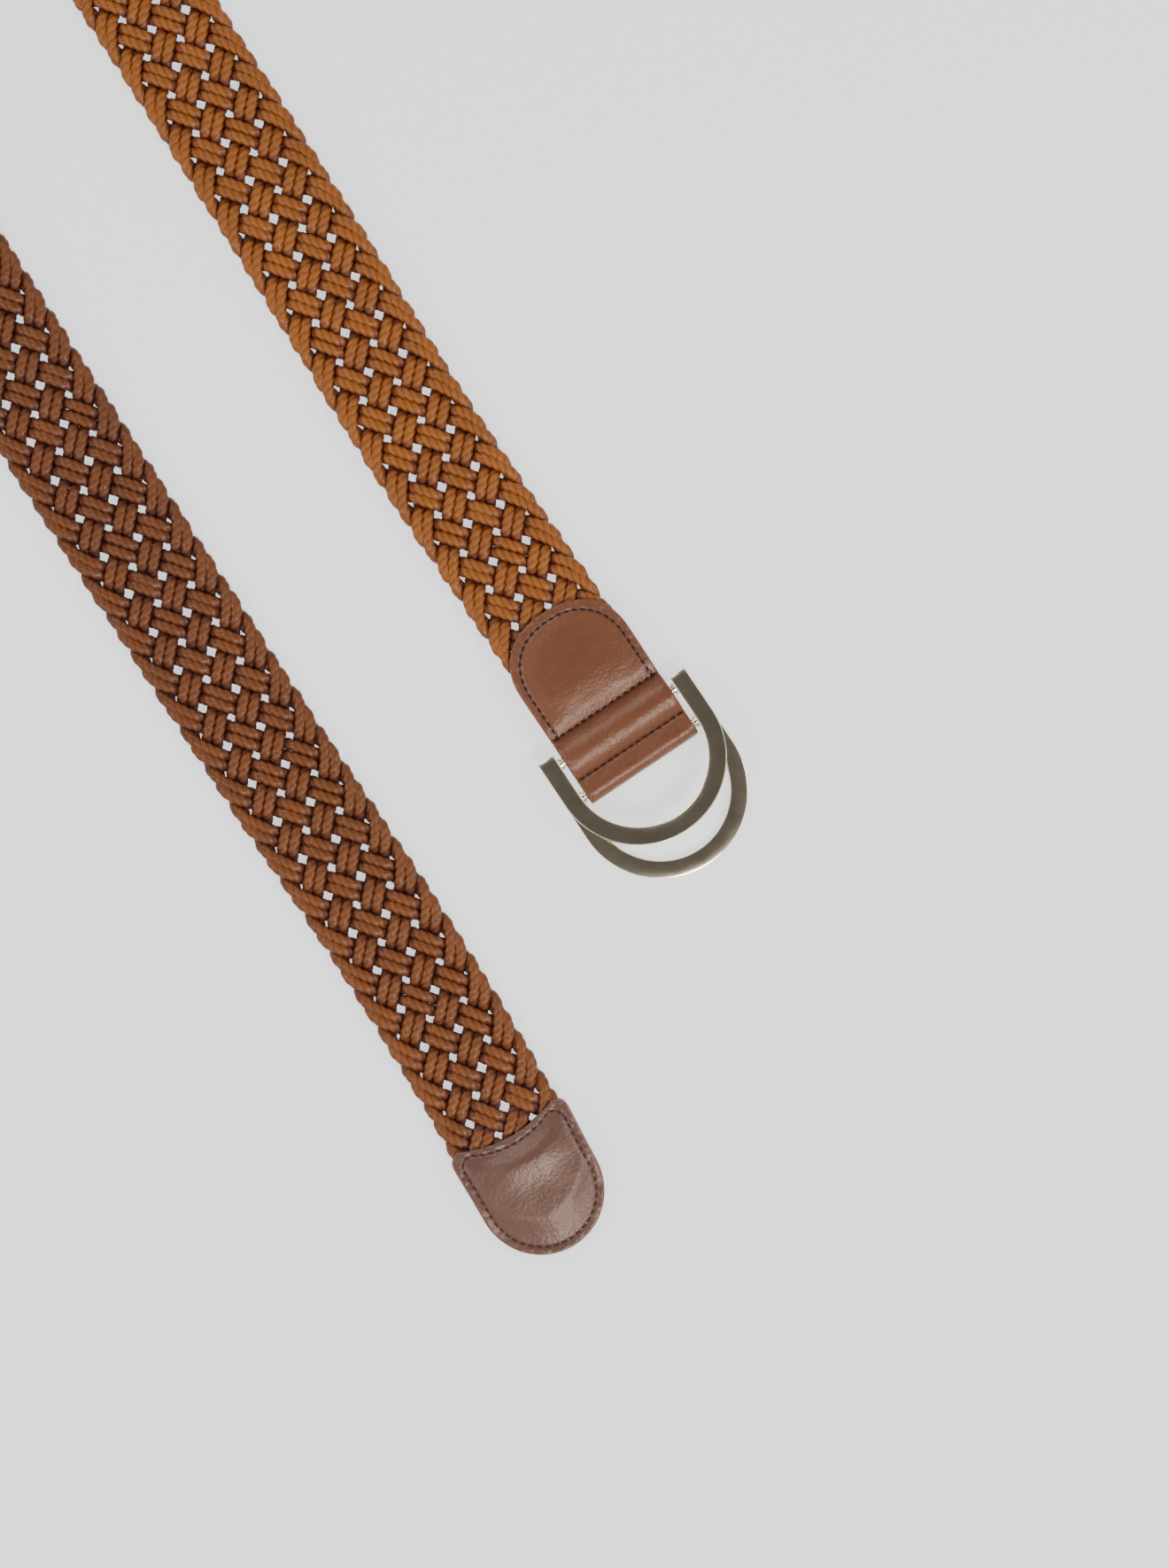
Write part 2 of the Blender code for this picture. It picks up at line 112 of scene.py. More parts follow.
# Rings
RING_INNER_R = 0.02005
RING_BAND = 0.0050
RING_THICK = 0.0020
RING_LEG = 0.0108
RING_HEEL = 0.0029
RING_FRONT_TILT = math.radians(8.5)
RING_BACK_TILT = math.radians(-4.2)

FLOOR_CLEAR = 0.00002  # nothing modelled here comes closer to the floor than this

FULL_TURN = 6.28  # radians, near enough for a random phase


def eased(value, low, high):
    t = np.clip((np.asarray(value, float) - low) / (high - low), 0, 1)
    return t * t * (3 - 2 * t)


def mixed(a, b, share):
    return a + (b - a) * share


def units(vectors):
    """Vectors, one in each row, made one long."""
    return vectors / np.linalg.norm(vectors, axis=1)[:, None]


def lengths(line):
    """Distances along a plane line to each of its points."""
    return np.concatenate([[0], np.cumsum(np.hypot(*np.diff(line, axis=0).T))])


def rows_at(places, known, table):
    """A table's rows at new places, read between the known ones."""
    return np.column_stack([np.interp(places, known, column) for column in table.T])


# ---------------------------------------------------------------- camera, light and floor

VIEW_HEIGHT = 0.4489  # what the view's long side covers on the floor
VIEW_CENTRE = (0.0246, -0.1793)
VIEW_UP = (0.541, 0.841)  # the floor direction that points up in the view
LENS = 85.0
SENSOR = 36.0

LIT_POINT = (0, -0.15, 0)  # where every lamp is aimed
LAMPS = {  # place, diameter and power
    "key": ((-0.02, -0.84, 0.92), 0.30, 7.0),
    "side": ((-0.72, 0.02, 0.80), 0.30, 3.2),
    "fill": ((0.62, -0.58, 0.80), 0.30, 3.6),
    "back": ((-0.06, 0.66, 0.86), 0.36, 2.6),
}
TENT_SHADES = ((0.0, 0.55), (0.55, 0.85), (0.78, 0.55), (0.90, 0.17))  # upward direction and grey
FLOOR_SIZE = 24


def make_camera():
    data = bpy.data.cameras.new("camera")
    data.lens = LENS
    data.sensor_width = SENSOR
    camera = bpy.data.objects.new("camera", data)
    bpy.context.scene.collection.objects.link(camera)
    up = Vector((*VIEW_UP, 0)).normalized()
    back = Vector((0, 0, 1))
    right = up.cross(back)
    matrix = Matrix((right, up, back)).transposed().to_4x4()
    matrix.translation = (*VIEW_CENTRE, VIEW_HEIGHT * LENS / SENSOR)
    camera.matrix_world = matrix
    bpy.context.scene.camera = camera


def area_light(name, place, size, power):
    data = bpy.data.lights.new(name, "AREA")
    data.shape = "DISK"
    data.size = size
    data.energy = power
    lamp = bpy.data.objects.new(name, data)
    lamp.location = place
    lamp.rotation_mode = "QUATERNION"
    lamp.rotation_quaternion = (Vector(LIT_POINT) - Vector(place)).to_track_quat("-Z", "Y")
    bpy.context.scene.collection.objects.link(lamp)


def make_tent():
    """A light tent: soft white all round, darker straight above, where the camera looks in."""
    world = bpy.data.worlds.new("tent")
    bpy.context.scene.world = world
    world.use_nodes = True
    tree = world.node_tree
    background = tree.nodes["Background"]
    where = node(tree, "ShaderNodeTexCoord")
    split = node(tree, "ShaderNodeSeparateXYZ")
    link(tree, where, "Generated", split, "Vector")
    shade = colour_ramp(tree, split, greys(*TENT_SHADES), "Z")
    link(tree, shade, "Color", background, "Color")


def make_floor():
    bpy.ops.mesh.primitive_plane_add(size=FLOOR_SIZE, location=(0, 0, 0))
    floor = bpy.context.object
    floor.name = "floor"
    floor.data.materials.append(floor_material())


# ---------------------------------------------------------------- node helpers


def node(tree, kind, **settings):
    made = tree.nodes.new(kind)
    for key, value in settings.items():
        if key in made.inputs:
            made.inputs[key].default_value = value
        else:
            setattr(made, key, value)
    return made


def link(tree, source, output, target, socket):
    tree.links.new(source.outputs[output], target.inputs[socket])


def attribute(tree, name):
    return node(tree, "ShaderNodeAttribute", attribute_name=name)


def local(tree):
    """Places on the piece, in metres."""
    return node(tree, "ShaderNodeTexCoord").outputs["Object"]


def colour_ramp(tree, source, stops, output="Fac"):
    ramp = node(tree, "ShaderNodeValToRGB")
    elements = ramp.color_ramp.elements
    while len(elements) < len(stops):
        elements.new(0.5)
    for element, (place, colour) in zip(elements, stops):
        element.position = place
        element.color = (*colour, 1)
    link(tree, source, output, ramp, "Fac")
    return ramp


def greys(*stops):
    """Stops of a colour ramp, from pairs of a place and a grey."""
    return [(place, (grey,) * 3) for place, grey in stops]


def noise(tree, vector, scale, detail, roughness=0.6, distortion=0.0):
    settings = {"Scale": scale, "Detail": detail, "Roughness": roughness, "Distortion": distortion}
    made = node(tree, "ShaderNodeTexNoise", **settings)
    tree.links.new(vector, made.inputs["Vector"])
    return made


def mix_colour(tree, a, b, factor, blend="MIX"):
    """Mixes two colour sockets or constants. factor is a socket or a fixed amount."""
    made = node(tree, "ShaderNodeMix", data_type="RGBA", blend_type=blend)
    slots = [made.inputs[0], *(s for s in made.inputs if s.type == "RGBA")]
    for slot, value in zip(slots, (factor, a, b)):
        if isinstance(value, bpy.types.NodeSocket):
            tree.links.new(value, slot)
        else:
            slot.default_value = (*value, 1) if slot.type == "RGBA" else value
    return next(s for s in made.outputs if s.type == "RGBA")


def mottle(tree, body, source, stops, amount, output="Fac"):
    """Multiplies a colour by a ramp that a pattern drives."""
    ramp = colour_ramp(tree, source, stops, output)
    return mix_colour(tree, body, ramp.outputs["Color"], amount, "MULTIPLY")


def stretch(tree, source, scale):
    mapping = node(tree, "ShaderNodeMapping", Scale=scale)
    tree.links.new(source, mapping.inputs["Vector"])
    return mapping.outputs["Vector"]


def bump(tree, shader, height, strength, distance, normal=None):
    made = node(tree, "ShaderNodeBump", Strength=strength, Distance=distance)
    tree.links.new(height, made.inputs["Height"])
    if normal is not None:
        tree.links.new(normal, made.inputs["Normal"])
    link(tree, made, "Normal", shader, "Normal")
    return made.outputs["Normal"]


def paint(tree, shader, source, stops, socket="Base Color"):
    """Drives one of the shader's inputs by a ramp on a pattern."""
    link(tree, colour_ramp(tree, source, stops), "Color", shader, socket)


# ---------------------------------------------------------------- materials


def new_material(name, roughness, metallic=0.0):
    made = bpy.data.materials.new(name)
    made.use_nodes = True
    shader = made.node_tree.nodes["Principled BSDF"]
    shader.inputs["Roughness"].default_value = roughness
    shader.inputs["Metallic"].default_value = metallic
    return made, made.node_tree, shader


def set_specular(shader, level, tint=(1, 1, 1)):
    shader.inputs["Specular IOR Level"].default_value = level
    shader.inputs["Specular Tint"].default_value = (*tint, 1)


def floor_material():
    """Pale paper that can be looked through from below."""
    made, tree, shader = new_material("floor_paper", 0.9)
    shader.inputs["Base Color"].default_value = (0.50, 0.50, 0.50, 1)
    shader.inputs["Emission Color"].default_value = (1, 1, 1, 1)
    shader.inputs["Emission Strength"].default_value = 1.10
    set_specular(shader, 0.1)
    side = node(tree, "ShaderNodeNewGeometry")
    clear = node(tree, "ShaderNodeBsdfTransparent")
    either = node(tree, "ShaderNodeMixShader")
    link(tree, side, "Backfacing", either, "Fac")
    tree.links.new(shader.outputs["BSDF"], either.inputs[1])
    tree.links.new(clear.outputs["BSDF"], either.inputs[2])
    link(tree, either, "Shader", tree.nodes["Material Output"], "Surface")
    return made


CORD_STOPS = (0.0, 0.35, 0.62, 1.0)  # from the braid's hollows, in painted shade with some dirt, to its lit crowns
# each row runs from the painted shade of the hollows to the crowns; tan is the buckle end's colour, red the
# tip side's
CORD_TAN = ((0.080, 0.020, 0.022), (0.140, 0.035, 0.010), (0.235, 0.067, 0.005), (0.31, 0.098, 0.006))
CORD_RED = ((0.052, 0.014, 0.017), (0.082, 0.020, 0.009), (0.122, 0.032, 0.005), (0.162, 0.045, 0.006))


def cord_material():
    """Waxed twisted cord. Attribute shade_lift is 0 in the braid's hollows and 1 on its crowns: painted
    shade, with some dirt, in the hollows. drift is the belt's change of colour along its length, tan at the
    buckle end to darker red over most of the tip side, and fibre runs round and along each ply in metres."""
    made, tree, shader = new_material("waxed_cord", 0.46)
    shade_lift = attribute(tree, "shade_lift")
    # painted shade: each ramp darkens the hollows, with some dirt, and keeps the crowns light
    tan = colour_ramp(tree, shade_lift, list(zip(CORD_STOPS, CORD_TAN)))
    red = colour_ramp(tree, shade_lift, list(zip(CORD_STOPS, CORD_RED)))
    body = mix_colour(
        tree, tan.outputs["Color"], red.outputs["Color"], attribute(tree, "drift").outputs["Fac"]
    )
    patches = noise(tree, local(tree), 90.0, 3.0)
    body = mottle(tree, body, patches, [(0.3, (0.78, 0.74, 0.72)), (0.7, (1.15, 1.12, 1.1))], 0.8)
    fibre = attribute(tree, "fibre").outputs["Vector"]
    threads = noise(tree, stretch(tree, fibre, (9000, 500, 1)), 1.0, 3.0, 0.7)
    body = mottle(tree, body, threads, [(0.25, (0.72, 0.62, 0.58)), (0.75, (1.15, 1.15, 1.15))], 0.6)
    tree.links.new(body, shader.inputs["Base Color"])
    paint(tree, shader, threads, greys((0.2, 0.52), (0.8, 0.28)), "Roughness")
    set_specular(shader, 0.42, (1.0, 0.82, 0.70))
    shader.inputs["Coat Weight"].default_value = 0.16
    shader.inputs["Coat Roughness"].default_value = 0.15
    bump(tree, shader, threads.outputs["Fac"], 0.55, 0.00012)
    return made


def leather_material(name, crown, shade_colour, edge):
    """Smooth corrected leather. Attribute rim is 1 on the painted edge, and shade_lift paints shade into
    the seams' furrows and the needle holes.
    """
    made, tree, shader = new_material(name, 0.4)
    where = local(tree)
    clouds = noise(tree, where, 60.0, 4.0, 0.55)
    creases = noise(tree, where, 940.0, 1.2, 0.5, 0.35)
    specks = noise(tree, where, 2600.0, 2.0, 0.7)
    pores = node(tree, "ShaderNodeTexVoronoi", feature="DISTANCE_TO_EDGE", Scale=1700.0)
    tree.links.new(where, pores.inputs["Vector"])
    # painted shade: the leather runs from its shade colour in seams and needle holes to its own colour
    tone = colour_ramp(tree, attribute(tree, "shade_lift"), [(0.0, shade_colour), (1.0, crown)])
    body = tone.outputs["Color"]
    body = mottle(tree, body, clouds, [(0.3, (0.86, 0.84, 0.83)), (0.7, (1.10, 1.05, 1.05))], 0.7)
    body = mottle(tree, body, pores, [(0.0, (0.72, 0.70, 0.70)), (0.22, (1, 1, 1))], 0.45, "Distance")
    body = mottle(tree, body, specks, [(0.3, (0.80, 0.78, 0.77)), (0.7, (1.18, 1.16, 1.15))], 0.6)
    body = mix_colour(tree, body, edge, attribute(tree, "rim").outputs["Fac"])
    tree.links.new(body, shader.inputs["Base Color"])
    paint(tree, shader, clouds, greys((0.3, 0.35), (0.7, 0.43)), "Roughness")
    set_specular(shader, 0.68, (1.0, 0.80, 0.68))
    normal = bump(tree, shader, pores.outputs["Distance"], 0.30, 0.00006)
    normal = bump(tree, shader, creases.outputs["Fac"], 0.62, 0.0002, normal)
    bump(tree, shader, specks.outputs["Fac"], 0.45, 0.00005, normal)
    return made


def thread_material(name, dark, light):
    """Twisted thread, mottled along its plies."""
    made, tree, shader = new_material(name, 0.8)
    fibre = attribute(tree, "fibre").outputs["Vector"]
    twist = noise(tree, stretch(tree, fibre, (12000, 1500, 1)), 1.0, 2.0)
    paint(tree, shader, twist, [(0.3, dark), (0.7, light)])
    set_specular(shader, 0.2)
    bump(tree, shader, twist.outputs["Fac"], 0.5, 0.00006)
    return made


def metal_material(name, low, high, roughness, spread):
    """Plated metal with fine polishing lines, a little clouded in colour and in roughness."""
    made, tree, shader = new_material(name, roughness, 1.0)
    where = local(tree)
    clouds = noise(tree, where, 140.0, 5.0, 0.65)
    lines = noise(tree, stretch(tree, where, (9000, 500, 9000)), 1.0, 2.0)
    paint(tree, shader, clouds, [(0.3, low), (0.7, high)])
    drift = greys((0.25, roughness - spread), (0.75, roughness + spread))
    paint(tree, shader, clouds, drift, "Roughness")
    bump(tree, shader, lines.outputs["Fac"], 0.08, 0.00003)
    return made


def tape_material():
    """Woven tape: a band of colour and of height for each of its threads."""
    made, tree, shader = new_material("binding_tape", 0.8)
    across = node(tree, "ShaderNodeTexWave", wave_type="BANDS", Scale=700.0, Distortion=0.6)
    tree.links.new(local(tree), across.inputs["Vector"])
    paint(tree, shader, across, [(0.2, (0.06, 0.025, 0.012)), (0.8, (0.19, 0.085, 0.04))])
    bump(tree, shader, across.outputs["Fac"], 0.6, 0.0001)
    return made


def board_material():
    """Flecked fibre board."""
    made, tree, shader = new_material("filler_board", 0.9)
    flecks = noise(tree, local(tree), 1200.0, 6.0, 0.8)
    paint(tree, shader, flecks, [(0.3, (0.22, 0.13, 0.08)), (0.7, (0.46, 0.31, 0.2))])
    bump(tree, shader, flecks.outputs["Fac"], 0.5, 0.0001)
    return made


# ---------------------------------------------------------------- the strap's route


def spline(knots, values, at):
    """The natural cubic spline through values at knots."""
    count = len(knots)
    steps = np.diff(knots)
    slopes = np.diff(values) / steps
    system, right = np.eye(count), np.zeros(count)
    for i in range(1, count - 1):
        system[i, i - 1 : i + 2] = steps[i - 1], 2 * (steps[i - 1] + steps[i]), steps[i]
        right[i] = 6 * (slopes[i] - slopes[i - 1])
    second = np.linalg.solve(system, right)
    i = np.clip(np.searchsorted(knots, at) - 1, 0, count - 2)
    step = steps[i]
    a = (knots[i + 1] - at) / step
    b = 1 - a
    curve = ((a**3 - a) * second[i] + (b**3 - b) * second[i + 1]) * step**2 / 6
    return a * values[i] + b * values[i + 1] + curve


PRESSED_FROM = 0.0015  # past a leather's mouth, where the braid starts to swell to its full thickness
PRESSED_TO = 0.012  # and where it has it
BOUND_FADE = 0.003  # how far past the tape the braid stays narrowed
ROUTE_SAMPLES = 6000


class Route:
    """The strap's centreline by arc length, with its right and face directions."""

    def __init__(self, points_mm, samples=ROUTE_SAMPLES):
        points = np.array(points_mm) * MM
        knots = lengths(points)
        at = np.linspace(0, knots[-1], samples)
        x, y = (spline(knots, values, at) for values in points.T)
        line = np.column_stack([x, y])
        self.s = lengths(line)
        self.length = self.s[-1]
        self.top = int(np.argmax(y))
        self.apex = self.s[self.top]
        self.y = y
        forward = units(np.gradient(line, self.s, axis=0))
        level = np.column_stack([forward[:, 1], -forward[:, 0], np.zeros(samples)])
        up = np.array([0.0, 0.0, 1.0])
        near = eased(self.s, self.at_y(BUCKLE_HINGE_Y, 0), self.at_y(TWIST_END_Y, 0))
        far = eased(-self.s, -self.at_y(TIP_HINGE_Y, 1), -self.at_y(TWIST_END_Y, 1))
        self.roll = math.pi / 2 * np.where(self.s < self.apex, near, far)
        cos, sin = np.cos(self.roll)[:, None], np.sin(self.roll)[:, None]
        self.right = level * cos - up * sin
        self.face = level * sin + up * cos
        self.forward = np.column_stack([forward, np.zeros(samples)])
        height = STRAP_WIDTH / 2 * sin[:, 0] + STRAP_THICK / 2 * cos[:, 0]
        self.share = self.pressed(self.s)
        self.centre = np.column_stack([x, y, height + (TONGUE_Z - STRAP_THICK / 2) * self.share])

    def at_y(self, y, side):
        """Arc length where the route crosses y, on the buckle side (0) or the tip side (1)."""
        if side == 0:
            return float(np.interp(y, self.y[: self.top + 1], self.s[: self.top + 1]))
        return float(np.interp(-y, -self.y[self.top :], self.s[self.top :]))

    def pressed(self, s):
        """1 where the braid is pressed flat between the leathers, 0 where it is free."""
        buckle = 1 - eased(s, PATCH_END + PRESSED_FROM, PATCH_END + PRESSED_TO)
        start = self.length - TIP_LENGTH
        return np.maximum(buckle, eased(s, start - PRESSED_TO, start - PRESSED_FROM))

    def bound(self, s):
        """1 inside the tape at the braid's two cut ends."""
        start = CHAPE_TONGUE_END + BINDING_LENGTH
        end = self.length - TIP_TONGUE_END - BINDING_LENGTH
        return np.maximum(1 - eased(s, start, start + BOUND_FADE), eased(s, end - BOUND_FADE, end))

    def lookup(self, table, s):
        """A table of points or directions, read at arc lengths s."""
        return rows_at(s, self.s, table)

    def ground(self, s):
        """A level frame on the ground: X to the strap's right, Y along it, Z up."""
        here = np.array([s])
        forward = Vector(self.lookup(self.forward, here)[0]).normalized()
        right = forward.cross(Vector((0, 0, 1)))
        matrix = Matrix((right, forward, Vector((0, 0, 1)))).transposed().to_4x4()
        x, y, _ = self.lookup(self.centre, here)[0]
        matrix.translation = (x, y, 0)
        return matrix


# ---------------------------------------------------------------- meshes


def mesh_object(name, points, faces, finishes, attributes=None, sharp=40, face_finish=None):
    """A smooth-shaded object from arrays of points and of quads or triangles, clear of the floor."""
    points = np.array(points, float)
    points[:, 2] = np.maximum(points[:, 2], FLOOR_CLEAR)
    mesh = bpy.data.meshes.new(name)
    mesh.vertices.add(len(points))
    mesh.vertices.foreach_set("co", points.astype(np.float32).ravel())
    sizes = np.array([len(face) for face in faces], np.int32)
    corners = np.concatenate([np.asarray(face, np.int32) for face in faces])
    starts = np.concatenate([[0], np.cumsum(sizes)[:-1]]).astype(np.int32)
    mesh.loops.add(len(corners))
    mesh.loops.foreach_set("vertex_index", corners)
    mesh.polygons.add(len(sizes))
    mesh.polygons.foreach_set("loop_start", starts)
    for finish in finishes:
        mesh.materials.append(finish)
    if face_finish is not None:
        mesh.polygons.foreach_set("material_index", np.asarray(face_finish, np.int32))
    mesh.update(calc_edges=True)
    mesh.validate()
    for key, values in (attributes or {}).items():
        values = np.asarray(values, np.float32)
        kind, field = ("FLOAT", "value") if values.ndim == 1 else ("FLOAT_VECTOR", "vector")
        mesh.attributes.new(key, kind, "POINT").data.foreach_set(field, values.ravel())
    mesh.shade_smooth()
    mesh.set_sharp_from_angle(angle=math.radians(sharp))
    made = bpy.data.objects.new(name, mesh)
    bpy.context.scene.collection.objects.link(made)
    return made


def grid_faces(rows, count):
    """Quads that join each ring of count points to the next, and a cap at each end."""
    ring = np.arange(count)
    following = np.roll(ring, -1)
    low = (np.arange(rows - 1) * count)[:, None]
    high = low + count
    quads = np.stack([low + ring, low + following, high + following, high + ring], axis=-1)
    return [*quads.reshape(-1, 4), ring[::-1], ring + (rows - 1) * count]


# ---------------------------------------------------------------- the braid

CORDS = 14
PAIRS = 7
CROSSING = PAIRS / 2  # periods that a cord takes from one edge of the strap to the other
CORD_WIDTH = 0.00350
CORD_HEIGHT = 0.00238
CORD_LAYER = (STRAP_THICK - CORD_HEIGHT) / 2  # how far a cord on top lies from the strap's middle
PERIOD = 0.012893  # along the strap, from one pair to the next
HOLE_AT = 0.1090  # a hole of the column left of centre lies this far along the strap
EDGE_V = 0.01605  # centre of a cord that turns at the strap's edge
VIRTUAL_V = 0.01935  # where the zigzag would turn if the strap's edge didn't hold it
EDGE_SOFTNESS = 0.0012
MATE_OFFSET = 0.0023 / PERIOD  # half the distance between a pair's two cords, in periods
MATE_EDGE = 0.0031 / PERIOD  # the same where they turn one by one
LEAN = 0.055  # how far the braid's rows lean, per unit across
SWAY = 0.00020  # falling cords run steeper where they are on top, and rising ones flatter
RISE_EARLY = 0.10  # a cord comes up this many periods before the middle of its turn
TUCK = 0.0009  # how far inside the edge a cord runs underneath before it comes up
WANDER_ALONG = 0.00013  # each cord strays from the pattern by about this much along the strap
WANDER_ACROSS = 0.00008
FLOAT_FLATNESS = 1.7
PLY_PITCH = 0.0072
PLIES = 3
PLY_POINTS = 5
PLY_GROOVE = 0.145
GROOVE_LIFT = 0.46  # share of its lift that a cord keeps in the groove between two plies, where painted shade darkens it
EDGE_LIFT = 0.55  # least lift out of the painted shade where a cord turns at the strap's edge
CORD_STEP = 0.00042
BOUND_THICK = TONGUE_THICK - 2 * BINDING_WALL - 2 * GAP
BOUND_WIDTH = 0.94  # share of its width that the braid keeps inside the tape
SPLITS = (0.400, 0.600)  # arc lengths where a cord's pieces meet, clear of the three flexing places
CORD_ZONES = (  # name, two body names that nothing here reads, the solids it replaces
    ("buckle", "loop_buckle_side", "buckle_leg", ("strap_buckle_leg", "strap_buckle_twist")),
    ("loop", "loop_tip_side", "loop_buckle_side", ("strap_buckle_bend", "strap_tip_bend")),
    ("tip", "loop_tip_side", "tip_leg", ("strap_tip_twist", "strap_tip_leg")),
)


def cord_line(route, index, rng):
    """One cord's centreline as (s, v, h): metres along and across the strap, and -1 to 1 through it."""
    pair, mate = index // 2, (-1, 1)[index % 2]
    w_start = (CHAPE_TONGUE_END - HOLE_AT) / PERIOD
    w_end = (route.length - TIP_TONGUE_END - HOLE_AT) / PERIOD
    w = np.arange(w_start, w_end, 0.004)  # periods along the strap
    turn = (w - pair) % CROSSING  # periods since the pair's last edge
    rising = ((w - pair) % PAIRS) < CROSSING
    q = np.where(turn > CROSSING / 2, turn - CROSSING, turn)  # signed periods from the nearest edge
    offset = mixed(MATE_OFFSET, MATE_EDGE, 1 - eased(np.abs(q), 0.05, 0.60))
    own = q - mate * offset
    edge_sign = np.where(rising == (turn <= CROSSING / 2), -1.0, 1.0)
    reach = VIRTUAL_V - VIRTUAL_V / (CROSSING / 2) * np.abs(own)
    edge = EDGE_V - TUCK * (1 - eased(own, -0.25, 0.05))
    v = edge_sign * (edge - EDGE_SOFTNESS * np.log1p(np.exp((edge - reach) / EDGE_SOFTNESS)))
    early = np.where(q < 0, 1 - eased(-q, 0.3, 0.8), 1 - eased(q, 0.0, 0.45))
    seen = q - mate * offset / 2 + RISE_EARLY * early
    phase = np.where(np.abs(seen) < 0.5, seen, 2 * seen - 0.5 * np.sign(seen))
    h = np.tanh(FLOAT_FLATNESS * np.sin(math.pi * phase)) / math.tanh(FLOAT_FLATNESS)
    wander = sum(
        rng.uniform(-1, 1) * np.sin(w * rng.uniform(0.4, 1.6) + rng.uniform(0, FULL_TURN)) for _ in range(4)
    )
    sway = SWAY * np.where(rising, 1.0, -1.0) * (1 - eased(np.abs(v), 0.0115, 0.0150))
    s = HOLE_AT + w * PERIOD - LEAN * v + sway * np.cos(math.pi * phase) + WANDER_ALONG * wander
    return s, v + WANDER_ACROSS * wander, h


class CordPath:
    """One cord's line in the frame, in even steps, with its side and up directions."""

    def __init__(self, route, s, v, h):
        bound = route.bound(s)
        squeeze = mixed(1.0, TONGUE_THICK / STRAP_THICK, np.interp(s, route.s, route.share))
        squeeze = mixed(squeeze, BOUND_THICK / STRAP_THICK, bound)
        v = v * mixed(1.0, BOUND_WIDTH, bound)
        right, face = route.lookup(route.right, s), route.lookup(route.face, s)
        line = route.lookup(route.centre, s) + right * v[:, None]
        line = line + face * (h * CORD_LAYER * squeeze)[:, None]
        run = np.concatenate([[0], np.cumsum(np.linalg.norm(np.diff(line, axis=0), axis=1))])
        self.at = np.linspace(0, run[-1], int(run[-1] / CORD_STEP))
        self.line = rows_at(self.at, run, line)
        self.s, self.h, self.squeeze, self.out = (
            np.interp(self.at, run, values) for values in (s, h, squeeze, np.abs(v))
        )
        face = route.lookup(route.face, self.s)
        tangent = units(np.gradient(self.line, self.at, axis=0))
        self.up = units(face - tangent * np.sum(face * tangent, axis=1)[:, None])
        self.side = np.cross(self.up, tangent)


def cord_skin(path, start_turn):
    """Points round the twisted plies at each step of a path, and each point's lift out of the painted
    shade.
    """
    count = PLIES * PLY_POINTS
    around = np.arange(count) * 2 * math.pi / count
    crown = np.abs(np.sin(PLIES * around / 2)) ** 0.8  # 0 between two plies, 1 on the back of one
    radius = 1 - PLY_GROOVE * (1 - crown)
    angle = around[None, :] + (2 * math.pi * path.at / PLY_PITCH + start_turn)[:, None]
    wide = CORD_WIDTH / 2 * radius * np.cos(angle)
    tall = CORD_HEIGHT / 2 * radius * np.sin(angle)
    points = path.line[:, None, :] + path.side[:, None, :] * wide[..., None]
    points = points + path.up[:, None, :] * (tall * path.squeeze[:, None])[..., None]
    # painted shade, with some dirt: darker where the cord dips under the others and in the grooves between
    # its plies, lighter where it turns at the strap's edge
    proud = np.abs(path.h[:, None] * CORD_LAYER + tall)
    shade_lift = eased(proud, 0.0002, STRAP_THICK / 2) * mixed(GROOVE_LIFT, 1.0, crown)
    shade_lift = np.maximum(shade_lift, EDGE_LIFT * eased(path.out, 0.0145, 0.0158)[:, None])
    return points, shade_lift


def cord_shades(route, path, index):
    """The belt's change of colour along a path, and fibre coordinates, for each point of its skin."""
    count = PLIES * PLY_POINTS
    # the cord's colour along the belt: tan at the buckle end, darker red past the middle, easing back a
    # little at the tip's end
    drift = eased(path.s, 0.30, 0.70) * mixed(1.0, 0.72, eased(path.s, route.length - 0.25, route.length))
    around = np.arange(count) * math.pi * CORD_WIDTH / count
    fibre = np.stack(np.broadcast_arrays(around, path.at[:, None], index * 7.3), axis=-1)
    return np.broadcast_to(drift[:, None], fibre.shape[:2]), fibre


def build_cord_pieces(route, index, finish):
    rng = np.random.default_rng(100 + index)
    path = CordPath(route, *cord_line(route, index, rng))
    points, shade_lift = cord_skin(path, rng.uniform(0, FULL_TURN))
    drift, fibre = cord_shades(route, path, index)
    cuts = [0, *(int(np.searchsorted(path.s, split)) for split in SPLITS), len(path.at) - 1]
    for (zone, body_a, body_b, nodes), low, high in zip(CORD_ZONES, cuts, cuts[1:]):
        part = slice(low, high + 1)
        shades = {"shade_lift": shade_lift[part].ravel(), "drift": drift[part].ravel()}
        shades["fibre"] = fibre[part].reshape(-1, 3)
        name = f"cord_{index + 1:02d}_{zone}"
        faces = grid_faces(high + 1 - low, points.shape[1])
        piece = mesh_object(name, points[part].reshape(-1, 3), faces, [finish], shades, sharp=75)
        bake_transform(piece)
        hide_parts(*nodes)


# ---------------------------------------------------------------- leather

